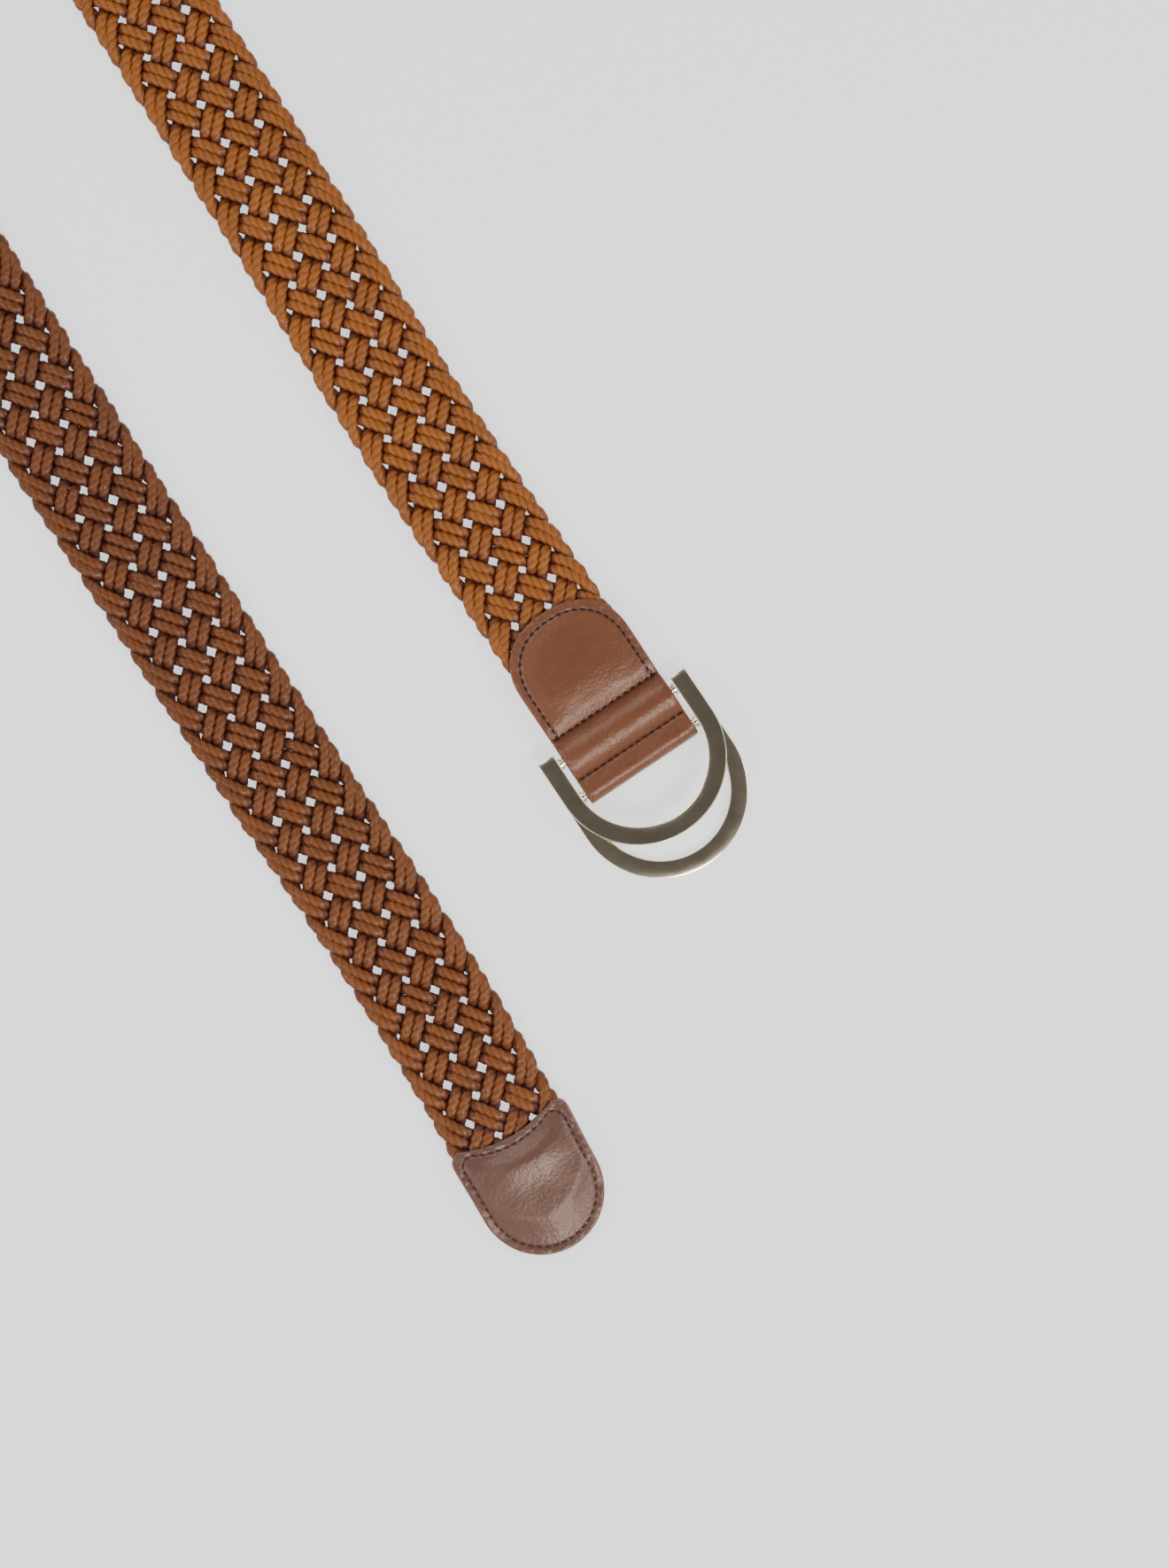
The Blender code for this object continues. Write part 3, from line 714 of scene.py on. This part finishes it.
STITCH_PITCH = 0.0024
STITCH_SHARE = 0.62  # of the pitch that shows as thread
STITCH_OVERRUN = 0.12  # a stitch's ends dive under the leather this share of its length past the holes
STITCH_SINK = 0.00032  # and this deep
STITCH_ARCH = 1 + 2 * STITCH_OVERRUN
STITCH_PROUD = 0.62  # share of the thread's radius by which its middle line clears the leather
STITCH_SLANT = 0.00011  # how far a stitch swings across the seam
STITCH_TWIST = 5.0  # turns of the thread's plies, in radians per stitch
STITCH_STEPS = 11
THREAD_R = 0.00028
THREAD_SIDES = 8
SEAM_REACH = 0.00062  # width and depth of the furrow that a seam pulls
SEAM_DIP = 0.00017
HOLE_REACH = 0.00032  # the same of a needle hole
HOLE_DIP = 0.00016
EDGE_ROUND = 0.00090  # how far in from the rim the leather's edge is rounded
EDGE_WALL = 0.00030  # half the height left at the rim
PUCKER = (0.0016, 0.0028)  # the rim puckers out to the first distance and is calm past the second
SLOW_WAVES = (0.008, 0.00005)  # length and height of the leather's own unevenness
RIM_WAVES = (0.0030, 0.00013)  # and of the puckers at its rim
RIM_PAINT = (0.00012, 0.00036)  # the edge's paint fades between these distances from the rim
SEAM_SHADE = 0.25  # how much painted shade darkens the leather in a seam's furrow and at a needle hole
HOLE_SHADE = 0.75
INSIDE_LIFT = 0.35  # shades of a leather's inner face: painted shade darkens it, and it takes part of the edge paint's colour
INSIDE_RIM = 0.6
LEAST_HALF = 0.0003  # half width of a leather's grid at its round ends


def shell(name, outer, inner, finishes, attributes):
    """A closed sheet from two matching grids of points, (rows, columns, 3), with walls all round.
    Each attribute is a pair of grids, one for the outer face and one for the inner."""
    rows, columns = outer.shape[:2]
    index = np.arange(rows * columns).reshape(rows, columns)
    size = rows * columns
    top = np.stack([index[:-1, :-1], index[:-1, 1:], index[1:, 1:], index[1:, :-1]], axis=-1).reshape(-1, 4)
    bottom = top[:, ::-1] + size
    rim = np.concatenate([index[0, :], index[1:, -1], index[-1, -2::-1], index[-2:0:-1, 0]])
    ahead = np.roll(rim, -1)
    wall = np.stack([ahead, rim, rim + size, ahead + size], axis=-1)
    faces = list(np.concatenate([top, bottom, wall]))
    points = np.concatenate([outer.reshape(-1, 3), inner.reshape(-1, 3)])
    values = {key: np.concatenate([a.ravel(), b.ravel()]) for key, (a, b) in attributes.items()}
    return mesh_object(name, points, faces, finishes, values, sharp=50)


def gap_to(line, points):
    """Distance from each point, (..., 2), to a polyline."""
    flat = points.reshape(-1, 2)
    start, step = line[:-1], np.diff(line, axis=0)
    length = np.maximum((step**2).sum(1), 1e-18)
    nearest = np.empty(len(flat))
    for low in range(0, len(flat), 4000):
        away = flat[low : low + 4000, None, :] - start
        share = np.clip((away * step).sum(-1) / length, 0, 1)
        nearest[low : low + 4000] = np.sqrt(((away - share[..., None] * step) ** 2).sum(-1)).min(1)
    return nearest.reshape(points.shape[:-1])


def near_points(centres, points, reach):
    """Sum of soft bumps, one at each centre, that fade within reach."""
    flat = points.reshape(-1, 2)
    total = np.zeros(len(flat))
    for centre in centres:
        total += np.exp(-((flat - centre) ** 2).sum(1) / reach**2)
    return total.reshape(points.shape[:-1])


def along_line(line, pitch):
    """Evenly spaced stitches on a polyline, as pairs of end points in the line's own plane."""
    run = lengths(line)
    count = int(round(run[-1] / pitch))
    step = run[-1] / count
    held = step * STITCH_SHARE
    middles = (np.arange(count) + 0.5) * step
    return np.stack([rows_at(middles + side * held / 2, run, line) for side in (-1, 1)], axis=1)


def ripple(points, seed, length, depth):
    """A gentle unevenness, the sum of waves in several directions."""
    rng = np.random.default_rng(seed)
    total = np.zeros(points.shape[:-1])
    waves = 9
    for _ in range(waves):
        turn, size = rng.uniform(0, math.pi), length * rng.uniform(0.6, 1.6)
        axis = np.array([math.cos(turn), math.sin(turn)])
        total += np.sin(points @ axis * 2 * math.pi / size + rng.uniform(0, FULL_TURN))
    return total / waves * depth * 2


def half_thickness(rim):
    """Half the leather's thickness at a distance from its rim, less where the edge is rounded."""
    rounded = np.sqrt(1 - (1 - np.clip(rim / EDGE_ROUND, 0, 1)) ** 2)
    return mixed(EDGE_WALL, LEATHER / 2, rounded)


class Sheet:
    """A stitched leather in a flat plane (x across, y along): how thick it is and where it dips."""

    def __init__(self, outline, seams, seed):
        self.outline = outline
        self.seams = seams
        self.seed = seed
        self.stitches = [along_line(seam, STITCH_PITCH) for seam in seams]
        self.holes = np.concatenate([s.reshape(-1, 2) for s in self.stitches])

    def read(self, points):
        """Distance in from the rim, closeness to a seam (1 on it) and to a needle hole."""
        rim = gap_to(self.outline, points)
        seam = np.min([gap_to(line, points) for line in self.seams], axis=0)
        return rim, np.exp(-((seam / SEAM_REACH) ** 2)), near_points(self.holes, points, HOLE_REACH)

    def outer(self, points):
        """Height of the outer face over the leather's middle, its lift out of the painted shade of seams
        and needle holes, and its rim shade.
        """
        rim, seam, hole = self.read(points)
        height = half_thickness(rim) - SEAM_DIP * seam - HOLE_DIP * np.clip(hole, 0, 1)
        height = height + ripple(points, self.seed, *SLOW_WAVES)
        height = height + (1 - eased(rim, *PUCKER)) * ripple(points, self.seed + 1, *RIM_WAVES)
        shade_lift = np.clip(1 - SEAM_SHADE * seam - HOLE_SHADE * hole, 0, 1)
        return height, shade_lift, 1 - eased(rim, *RIM_PAINT)

    def inner(self, points):
        return -half_thickness(gap_to(self.outline, points))


def lay_skin(name, sheet, grid, lay, finish, flipped=False):
    """A sheet's two faces, laid in the frame. flipped keeps the faces outward where lay mirrors them."""
    height, shade_lift, rim = sheet.outer(grid)
    outer, inner = lay(grid, height)[0], lay(grid, sheet.inner(grid))[0]
    if flipped:
        outer, inner, shade_lift, rim = (values[:, ::-1] for values in (outer, inner, shade_lift, rim))
    shades = {"shade_lift": (shade_lift, np.full(shade_lift.shape, INSIDE_LIFT)), "rim": (rim, np.maximum(rim, INSIDE_RIM))}
    return shell(name, outer, inner, [finish], shades)


def sew(name, sheet, which, lay, finish, body, *nodes):
    """Lays every stitch of one seam on the sheet. lay turns plane points and heights into the frame."""
    steps = np.linspace(-STITCH_OVERRUN, 1 + STITCH_OVERRUN, STITCH_STEPS)
    arch = np.sin(math.pi * np.clip((steps + STITCH_OVERRUN) / STITCH_ARCH, 0, 1)) ** 0.5
    around = np.arange(THREAD_SIDES) * 2 * math.pi / THREAD_SIDES
    ring_faces = grid_faces(STITCH_STEPS, THREAD_SIDES)
    points, faces, fibre = [], [], []
    for k, (start, end) in enumerate(sheet.stitches[which]):
        along = end - start
        side = np.array([-along[1], along[0]]) / np.linalg.norm(along)
        line = start + along * steps[:, None] + side * (STITCH_SLANT * (steps[:, None] - 0.5))
        height = sheet.outer(line)[0] - STITCH_SINK + (STITCH_SINK + THREAD_R * STITCH_PROUD) * arch
        centre, normal = lay(line, height)
        ahead = units(np.gradient(centre, axis=0))
        across = np.cross(normal, ahead)
        up = np.cross(ahead, across)
        turn = around[None, :] + steps[:, None] * STITCH_TWIST + k
        thick = THREAD_R * (0.82 + 0.18 * np.abs(np.cos(turn))) * (0.55 + 0.45 * arch[:, None])
        ring = centre[:, None, :] + across[:, None, :] * (thick * np.cos(around))[..., None]
        ring = ring + up[:, None, :] * (thick * np.sin(around))[..., None]
        points.append(ring.reshape(-1, 3))
        faces += [face + k * STITCH_STEPS * THREAD_SIDES for face in ring_faces]
        run = steps * np.linalg.norm(along)
        place = np.broadcast_arrays(turn * THREAD_R, run[:, None], k * 0.37)
        fibre.append(np.stack(place, axis=-1).reshape(-1, 3))
    shades = {"fibre": np.concatenate(fibre)}
    made = mesh_object(name, np.concatenate(points), faces, [finish], shades, sharp=80)
    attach(made, body)
    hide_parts(*nodes)


def in_world(matrix, x, y, z):
    """Points or grids of points, taken from a place's own axes into the frame."""
    m = np.array(matrix)
    local = np.stack(np.broadcast_arrays(x, y, z), axis=-1)
    return local @ m[:3, :3].T + m[:3, 3]


# ---------------------------------------------------------------- chape


def patch_half(distance):
    """Half the chape's width at a distance from the end bar: straight sides and a round end."""
    distance = np.asarray(distance, float)
    into = np.clip(PATCH_END - distance, 0, PATCH_ROUND)
    share = eased(distance, BAR_SEAM, PATCH_END - PATCH_ROUND)
    rise = 1 - (1 - into / PATCH_ROUND) ** PATCH_POWER
    width = np.maximum(rise, 0) ** (1 / PATCH_POWER)
    return np.maximum(mixed(CHANNEL_HALF, CHAPE_HALF, share) * width, LEAST_HALF)


PATCH_SHOULDER = ((0.0252, 0.00007), (0.0225, 0.00024), (0.0212, 0.00042), (0.0200, 0.00085))
# distances at which the patch has dipped so far on its way down to the bar seam
PATCH_PAD = 0.00042  # how far the braid lifts the patch within its seam
PATCH_CROWN = 0.00045  # how far its middle is domed over that
PATCH_DROOP = 0.00022  # and how far its rim hangs
BACK_PUFF = 0.25  # the back's share of all three
CHANNEL_SWELL = 0.0002  # the bulge stands this much over the leather drawn tight on its bar
CHANNEL_FULLNESS = 0.72  # under 1 makes its flanks steep and its top flat


def arc(centre, radius, start, end, count):
    """Points on a circle from one angle in degrees to another."""
    turns = np.radians(np.linspace(start, end, count + 1))
    return [(centre[0] + radius * math.cos(t), centre[1] + radius * math.sin(t)) for t in turns]


def channel_bulge(start, end):
    """The soft bulge over the inner bar, from the bar seam to the fold seam."""
    far, near = BAR_SEAM - SEAM_FLAT, FOLD_SEAM + SEAM_FLAT
    middle, reach = (far + near) / 2, (far - near) / 2
    top = FRONT_BAR_Z + CHANNEL_R + CHANNEL_SWELL
    share = np.linspace(1, -1, 25)[1:-1]
    base = mixed(end, start, (share + 1) / 2)
    rise = np.maximum(1 - share**2, 0) ** CHANNEL_FULLNESS
    return list(zip(middle + reach * share, base + (top - (start + end) / 2) * rise))


def chape_profile():
    """The folded strip's middle line as (distance, height): front patch, round both bars, back patch."""
    seam_mid = BACK_BAR_Z + (FRONT_BAR_Z - BACK_BAR_Z) * FOLD_SEAM / BAR_SPACING
    apart = LEATHER / 2 + GAP / 2
    front = [(d, FRONT_Z) for d in (PATCH_END, 0.040, 0.0285)]
    front += [(distance, FRONT_Z - dip) for distance, dip in PATCH_SHOULDER]
    front += [(BAR_SEAM + SEAM_FLAT, BAR_SEAM_Z + apart), (BAR_SEAM - SEAM_FLAT, BAR_SEAM_Z + apart)]
    front += channel_bulge(BAR_SEAM_Z + apart, seam_mid + apart)
    front += [(FOLD_SEAM + SEAM_FLAT, seam_mid + apart), (FOLD_SEAM - SEAM_FLAT, seam_mid + apart)]
    front += arc((0, BACK_BAR_Z), CHANNEL_R, 72, 288, 14)
    back = [(FOLD_SEAM - SEAM_FLAT, seam_mid - apart), (FOLD_SEAM + SEAM_FLAT, seam_mid - apart)]
    back += arc((BAR_SPACING, FRONT_BAR_Z), CHANNEL_R, 250, 305, 4)
    back += [(BAR_SEAM - SEAM_FLAT, BAR_SEAM_Z - apart), (BAR_SEAM + SEAM_FLAT, BAR_SEAM_Z - apart)]
    back += [(d, BACK_Z) for d in (FLAT_START, 0.028, 0.040, PATCH_END)]
    return np.array(front + back)


class Fold:
    """The chape's middle line by its own length, softened at the corners."""

    def __init__(self, blur=0.00035):
        raw = chape_profile()
        run = lengths(raw)
        self.length = run[-1]
        fine = 0.00005
        reach = int(4 * blur / fine)
        at = np.arange(-reach, int(self.length / fine) + reach + 2) * fine
        first, last = (raw[0] - raw[1]), (raw[-1] - raw[-2])
        line = rows_at(at, run, raw)
        before, after = np.minimum(at, 0), np.maximum(at - self.length, 0)
        line += np.outer(-before, first / np.linalg.norm(first))
        line += np.outer(after, last / np.linalg.norm(last))
        weight = np.exp(-((np.arange(-reach, reach + 1) * fine / blur) ** 2) / 2)
        weight /= weight.sum()
        self.line = np.column_stack([np.convolve(line[:, k], weight, "same") for k in (0, 1)])
        self.at = at
        ahead = units(np.gradient(self.line, axis=0))
        self.out = np.column_stack([ahead[:, 1], -ahead[:, 0]])
        self.turn = self.at[int(np.argmin(self.line[:, 0]))]

    def read(self, run):
        """Distance and height of the middle line, and the two parts of its outward direction."""
        return tuple(np.interp(run, self.at, values) for values in (*self.line.T, *self.out.T))

    def run_at(self, distance, front):
        """Length along the fold where the front or back layer passes a distance."""
        d = self.line[:, 0]
        part = self.at < self.turn if front else self.at > self.turn
        order = np.argsort(d[part])
        return np.interp(distance, d[part][order], self.at[part][order])


def patch_seam_line():
    """The D-shaped seam inside the patch's edge, as (x, distance)."""
    top = PATCH_END - PATCH_SEAM_TOP
    half = CHAPE_HALF - PATCH_SEAM_INSET
    depth = PATCH_ROUND - 0.001
    turn = np.linspace(0, math.pi, 49)
    x = half * np.sign(np.cos(turn)) * np.abs(np.cos(turn)) ** (2 / PATCH_POWER)
    y = top - depth + depth * np.sin(turn) ** (2 / PATCH_POWER)
    foot = np.linspace(PATCH_SEAM_FOOT, top - depth, 12)[:-1]
    right = np.column_stack([np.full(11, half), foot])
    left = np.column_stack([np.full(11, -half), foot[::-1]])
    return np.concatenate([right, np.column_stack([x, y]), left])


def chape_seams(fold):
    """The three seams of the front layer, then those of the back, as (x, length along the fold)."""
    half = CHANNEL_HALF - 0.0004
    across = np.linspace(-half, half, 9)
    seams = []
    for front in (True, False):
        line = patch_seam_line()
        line[:, 1] = fold.run_at(line[:, 1], front)
        seams.append(line)
        for distance in (BAR_SEAM, FOLD_SEAM):
            run = float(fold.run_at(distance, front))
            seams.append(np.column_stack([across, np.full(9, run)]))
    return seams


def chape_grid(fold):
    """The chape's outline, and its grid of points, closer together at the rims and round ends."""
    ends = PATCH_ROUND * (1 - np.cos(np.linspace(0, math.pi / 2, 46)))
    middle = np.arange(PATCH_ROUND, fold.length - PATCH_ROUND, 0.00036)[1:]
    runs = np.concatenate([ends, middle, fold.length - ends[::-1]])
    half = patch_half(fold.read(runs)[0])
    right, left = np.column_stack([half, runs]), np.column_stack([-half, runs])
    outline = np.concatenate([right, left[::-1], right[:1]])
    grid = np.stack(np.broadcast_arrays(half[:, None] * across_shares(), runs[:, None]), axis=-1)
    return outline, grid


def across_shares():
    """Columns of a leather's grid as shares of its half width, closer together at the sides."""
    share = np.linspace(-1, 1, 105)
    return 0.6 * share + 0.4 * np.sin(math.pi / 2 * share)


def build_chape(route, leather, thread):
    place = route.ground(0.0)
    fold = Fold()
    outline, grid = chape_grid(fold)
    sheet = Sheet(outline, chape_seams(fold), 5)

    def puff(points):
        """The braid's end pads the patch inside its seam, most on the front."""
        distance = fold.read(points[..., 1])[0]
        rim = gap_to(outline, points)
        on_front = 1 - eased(points[..., 1], fold.turn - 0.002, fold.turn + 0.002)
        on_patch = eased(distance, BAR_SEAM + 0.001, BAR_SEAM + 0.011)
        across = 1 - (points[..., 0] / CHAPE_HALF) ** 2
        pad = PATCH_PAD * eased(rim, PATCH_SEAM_INSET, 0.0075)
        crown = PATCH_CROWN * across * eased(rim, 0.002, 0.012)
        droop = PATCH_DROOP * (eased(rim, 0, 0.0030) - 1)
        return (pad + crown + droop) * on_patch * mixed(BACK_PUFF, 1.0, on_front)

    def lay(points, height):
        d, z, out_d, out_z = fold.read(points[..., 1])
        height = height + puff(points)
        at = in_world(place, points[..., 0], d + out_d * height, z + out_z * height)
        normal = in_world(place, 0 * d, out_d, out_z) - np.array(place.translation)
        return at, normal

    made = lay_skin("chape_skin", sheet, grid, lay, leather)
    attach(made, "buckle_leg")
    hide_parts("chape_leather")
    kinds = ("patch_seam", "bar_seam", "fold_seam")
    names = [f"{kind}_{side}" for side in ("front", "back") for kind in kinds]
    for which, name in enumerate(names):
        sew(f"stitches_{name}", sheet, which, lay, thread, "buckle_leg", name)


# ---------------------------------------------------------------- tip


TIP_CREST_AT = 0.0285  # the crease over the braid's cut end, from the tip's round end
TIP_CREST_WIDTH = 0.0058
TIP_CREST = 0.00150
TIP_BELLY = 0.00050  # how far the front is domed over the filler
TIP_RIM_DIP = 0.00025  # how far the rim is drawn in at the mouth's two sides
PAD_INSET = 0.0040


def tip_half(distance, inset=0.0):
    """Half the tip's width at a distance from its round end, less an inset."""
    radius = TIP_HALF - inset
    into = np.clip(distance - inset, 0, radius)
    round_end = np.sqrt(np.maximum(radius**2 - (radius - into) ** 2, 0))
    side = mixed(TIP_HALF, TIP_TOP_HALF, eased(distance, TIP_HALF, TIP_LENGTH)) - inset
    return np.where(distance - inset < radius, round_end, side)


def tip_reach(share, inset=0.0):
    """How far from the round end the mouth is, at a share of the half width."""
    half = TIP_TOP_HALF - inset
    x = np.abs(share) * half
    reach = half - TIP_CORNER_R
    sag = TIP_MOUTH_SAG * (1 - np.clip(x / reach, 0, 1) ** 2)
    past = np.clip(x - reach, 0, TIP_CORNER_R)
    corner = TIP_CORNER_R - np.sqrt(np.maximum(TIP_CORNER_R**2 - past**2, 0))
    return TIP_LENGTH - inset - sag - corner


def tip_outline(inset=0.0):
    """The tip's outline in its own plane, closed, or a line that keeps an inset from it."""
    turn = np.linspace(0, math.pi / 2, 41)
    radius = TIP_HALF - inset
    round_end = inset + radius * (1 - np.cos(turn))
    side = np.linspace(round_end[-1], float(tip_reach(1.0, inset)), 14)[1:]
    d = np.concatenate([round_end, side])
    right = np.column_stack([tip_half(d, inset), d])
    share = np.sin(np.linspace(math.pi / 2, -math.pi / 2, 61))[1:-1]
    half = float(tip_half(TIP_LENGTH, inset))
    mouth = np.column_stack([share * half, tip_reach(share, inset)])
    left = np.column_stack([-right[::-1, 0], right[::-1, 1]])
    return np.concatenate([right, mouth, left])


def tip_grid():
    """The tip's grid of points, closer together at the rims and the round end."""
    turned = TIP_HALF / TIP_LENGTH
    round_end = turned * (1 - np.cos(np.linspace(0, math.pi / 2, 60)))
    rows = np.concatenate([round_end, np.linspace(turned, 1, 62)[1:]])
    rows[0] = 0.00002
    share = across_shares()
    distance = rows[:, None] * tip_reach(share)[None, :]
    return np.stack([share * np.maximum(tip_half(distance), LEAST_HALF), distance], axis=-1)


def tip_middle(x, d, crowned):
    """Height of one leather's middle over the tip's own: the two meet at the rim of the round end and
    part towards the mouth. The front one is crowned."""
    side = np.where(d < TIP_HALF, TIP_HALF - np.hypot(x, TIP_HALF - d), tip_half(d) - np.abs(x))
    mouth = tip_reach(np.clip(x / TIP_TOP_HALF, -1, 1)) - d
    closed = 1 - eased(d, 0.010, 0.022)
    nominal = FRONT_Z - TIP_MIDDLE_Z
    rim_height = mixed(nominal - TIP_RIM_DIP, LEATHER / 2 + 0.00003, closed)
    rise = eased(side, 0.0012, mixed(0.0042, 0.0125, closed)) * eased(mouth, 0.0015, 0.0060)
    crest = np.exp(-(((d - TIP_CREST_AT) / TIP_CREST_WIDTH) ** 2)) * eased(side, 0.001, 0.0150)
    crest = TIP_CREST * crest * eased(mouth, 0.0010, 0.0090)
    belly = TIP_BELLY * (1 - (x / TIP_HALF) ** 2) * eased(d, 0.004, 0.020)
    return mixed(rim_height, nominal + (crest + belly if crowned else 0.0), rise)


def build_tip(route, leather, thread, board):
    place = route.ground(route.length)
    for layer, sign, seed in (("front", 1, 11), ("back", -1, 12)):
        sheet = Sheet(tip_outline(), [tip_outline(TIP_SEAM_INSET)], seed)

        def lay(points, height, sign=sign):
            x, d = points[..., 0], points[..., 1]
            middle = tip_middle(x, d, sign > 0)
            at = in_world(place, x, -d, TIP_MIDDLE_Z + sign * (middle + height))
            return at, np.broadcast_to([0.0, 0.0, float(sign)], at.shape)

        made = lay_skin(f"tip_skin_{layer}", sheet, tip_grid(), lay, leather, flipped=sign < 0)
        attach(made, "tip_leg")
        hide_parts(f"tip_leather_{layer}")
        sew(f"stitches_tip_{layer}", sheet, 0, lay, thread, "tip_leg", f"tip_seam_{layer}")
    build_filler(place, board)


def build_filler(place, board):
    """A pad that fills the tip's round end, thin at its rim and cut straight beside the braid."""
    radius = TIP_HALF - PAD_INSET
    end = TIP_TONGUE_END - 2 * GAP
    levels, sides = 13, 72
    turn = np.arange(sides) * 2 * math.pi / sides
    rings = []
    for k in range(levels):
        t = math.pi * k / (levels - 1)
        reach = max(radius * math.sin(t) ** 0.8, 0.0004)
        height = (TONGUE_THICK / 2) * math.cos(t) * 0.92
        d = np.minimum(TIP_HALF + reach * np.sin(turn), end)
        rings.append(in_world(place, reach * np.cos(turn), -d, TIP_MIDDLE_Z + height))
    made = mesh_object("tip_pad", np.concatenate(rings), grid_faces(levels, sides), [board])
    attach(made, "tip_leg")
    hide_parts("tip_filler")


# ---------------------------------------------------------------- rings

RING_BEVEL = 0.00032
LEG_POINTS = 11
CORNER_POINTS = 4
SECTION_POINTS = 4 * CORNER_POINTS
FLAT_SIDES = (3, 11)  # the section's points where its two broad faces start
CAP_RINGS = 3


def ring_line(count=96):
    """The bow's middle line in its own plane, bar at the origin: leg, half round, leg."""
    radius = RING_INNER_R + RING_BAND / 2
    turn = np.linspace(0, math.pi, count)
    legs = np.linspace(RING_HEEL, -RING_LEG, LEG_POINTS + 1)[:-1]
    right = np.column_stack([np.full(LEG_POINTS, radius), legs])
    bow = np.column_stack([radius * np.cos(turn), -RING_LEG - radius * np.sin(turn)])
    left = np.column_stack([np.full(LEG_POINTS, -radius), legs[::-1]])
    return np.concatenate([right, bow, left])


def ring_section():
    """The bow's section: an oblong with its corners rounded by the bevel."""
    wide, tall = RING_BAND / 2 - RING_BEVEL, RING_THICK / 2 - RING_BEVEL
    section = []
    for u, v, start in ((1, 1, 0), (-1, 1, 90), (-1, -1, 180), (1, -1, 270)):
        for k in range(CORNER_POINTS):
            t = math.radians(start + 90 * k / (CORNER_POINTS - 1))
            section.append((u * wide + RING_BEVEL * math.cos(t), v * tall + RING_BEVEL * math.sin(t)))
    return np.array(section)


def build_bow(name, place, body, finishes):
    """A flat bow with satin faces and bright bevelled edges, its leg ends rounded off."""
    line = ring_line()
    ahead = units(np.gradient(line, axis=0))
    across = np.column_stack([ahead[:, 1], -ahead[:, 0]])
    section = ring_section()

    def ring(i, section, past=0.0):
        flat = line[i] + ahead[i] * past + across[i] * section[:, :1]
        return in_world(place, flat[:, 0], flat[:, 1], section[:, 1])

    def cap_ring(i, sign, k):
        """One of the shrinking rings that round off a leg's end."""
        t = math.pi / 2 * k / CAP_RINGS
        less = RING_BEVEL * (1 - math.cos(t))
        small = section * [1 - less / (RING_BAND / 2), 1 - less / (RING_THICK / 2)]
        return ring(i, small, sign * RING_BEVEL * math.sin(t))

    caps = range(1, CAP_RINGS + 1)
    rings = [cap_ring(0, -1, k) for k in reversed(caps)]
    rings += [ring(i, section) for i in range(len(line))]
    rings += [cap_ring(-1, 1, k) for k in caps]
    faces = grid_faces(len(rings), SECTION_POINTS)
    kinds = [0 if face[0] % SECTION_POINTS in FLAT_SIDES else 1 for face in faces[:-2]] + [1, 1]
    points = np.concatenate(rings)
    made = mesh_object(f"{name}_polished", points, faces, finishes, sharp=28, face_finish=kinds)
    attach(made, body)
    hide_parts(f"{name}_bow")


def build_rings(route, face, edge):
    chape = route.ground(0.0)
    for name, distance, height, tilt in (
        ("ring_back", 0.0, BACK_BAR_Z, RING_BACK_TILT),
        ("ring_front", BAR_SPACING, FRONT_BAR_Z, RING_FRONT_TILT),
    ):
        place = chape @ Matrix.Translation((0, distance, height)) @ Matrix.Rotation(-tilt, 4, "X")
        build_bow(name, place, name, [face, edge])


# ---------------------------------------------------------------- build


def finish_solids():
    """Gives the solids that stay on show, the bars and the bindings, their finishes."""
    finishes = {
        "bar_metal": metal_material("bar_metal", (0.46, 0.39, 0.27), (0.60, 0.52, 0.38), 0.20, 0.04),
        "binding_tape": tape_material(),
    }
    for row in frame["record"]["subparts"]:
        finish = finishes.get(row["material_slot"])
        if finish:
            materials = frame["nodes"][row["node"]].data.materials
            materials.clear()
            materials.append(finish)


def main():
    make_camera()
    make_tent()
    for name, lamp in LAMPS.items():
        area_light(name, *lamp)
    make_floor()

    route = Route(ROUTE_MM)
    cord = cord_material()
    for index in range(CORDS):
        build_cord_pieces(route, index, cord)

    # the chape's own colour, its painted-shade colour for seams and holes, and its edge paint
    shades = (0.144, 0.047, 0.020), (0.045, 0.015, 0.011), (0.120, 0.042, 0.026)
    leather = leather_material("chape_leather", *shades)
    thread = thread_material("chape_thread", (0.012, 0.005, 0.005), (0.045, 0.017, 0.015))
    build_chape(route, leather, thread)

    # the tip's own colour, its painted-shade colour for seams and holes, and its edge paint
    shades = (0.110, 0.051, 0.037), (0.050, 0.020, 0.016), (0.150, 0.072, 0.057)
    leather = leather_material("tip_leather", *shades)
    thread = thread_material("tip_thread", (0.036, 0.013, 0.012), (0.095, 0.037, 0.032))
    build_tip(route, leather, thread, board_material())

    face = metal_material("ring_face", (0.52, 0.44, 0.32), (0.60, 0.51, 0.37), 0.16, 0.02)
    edge = metal_material("ring_edge", (0.80, 0.70, 0.50), (0.92, 0.84, 0.66), 0.14, 0.03)
    build_rings(route, face, edge)
    finish_solids()


main()
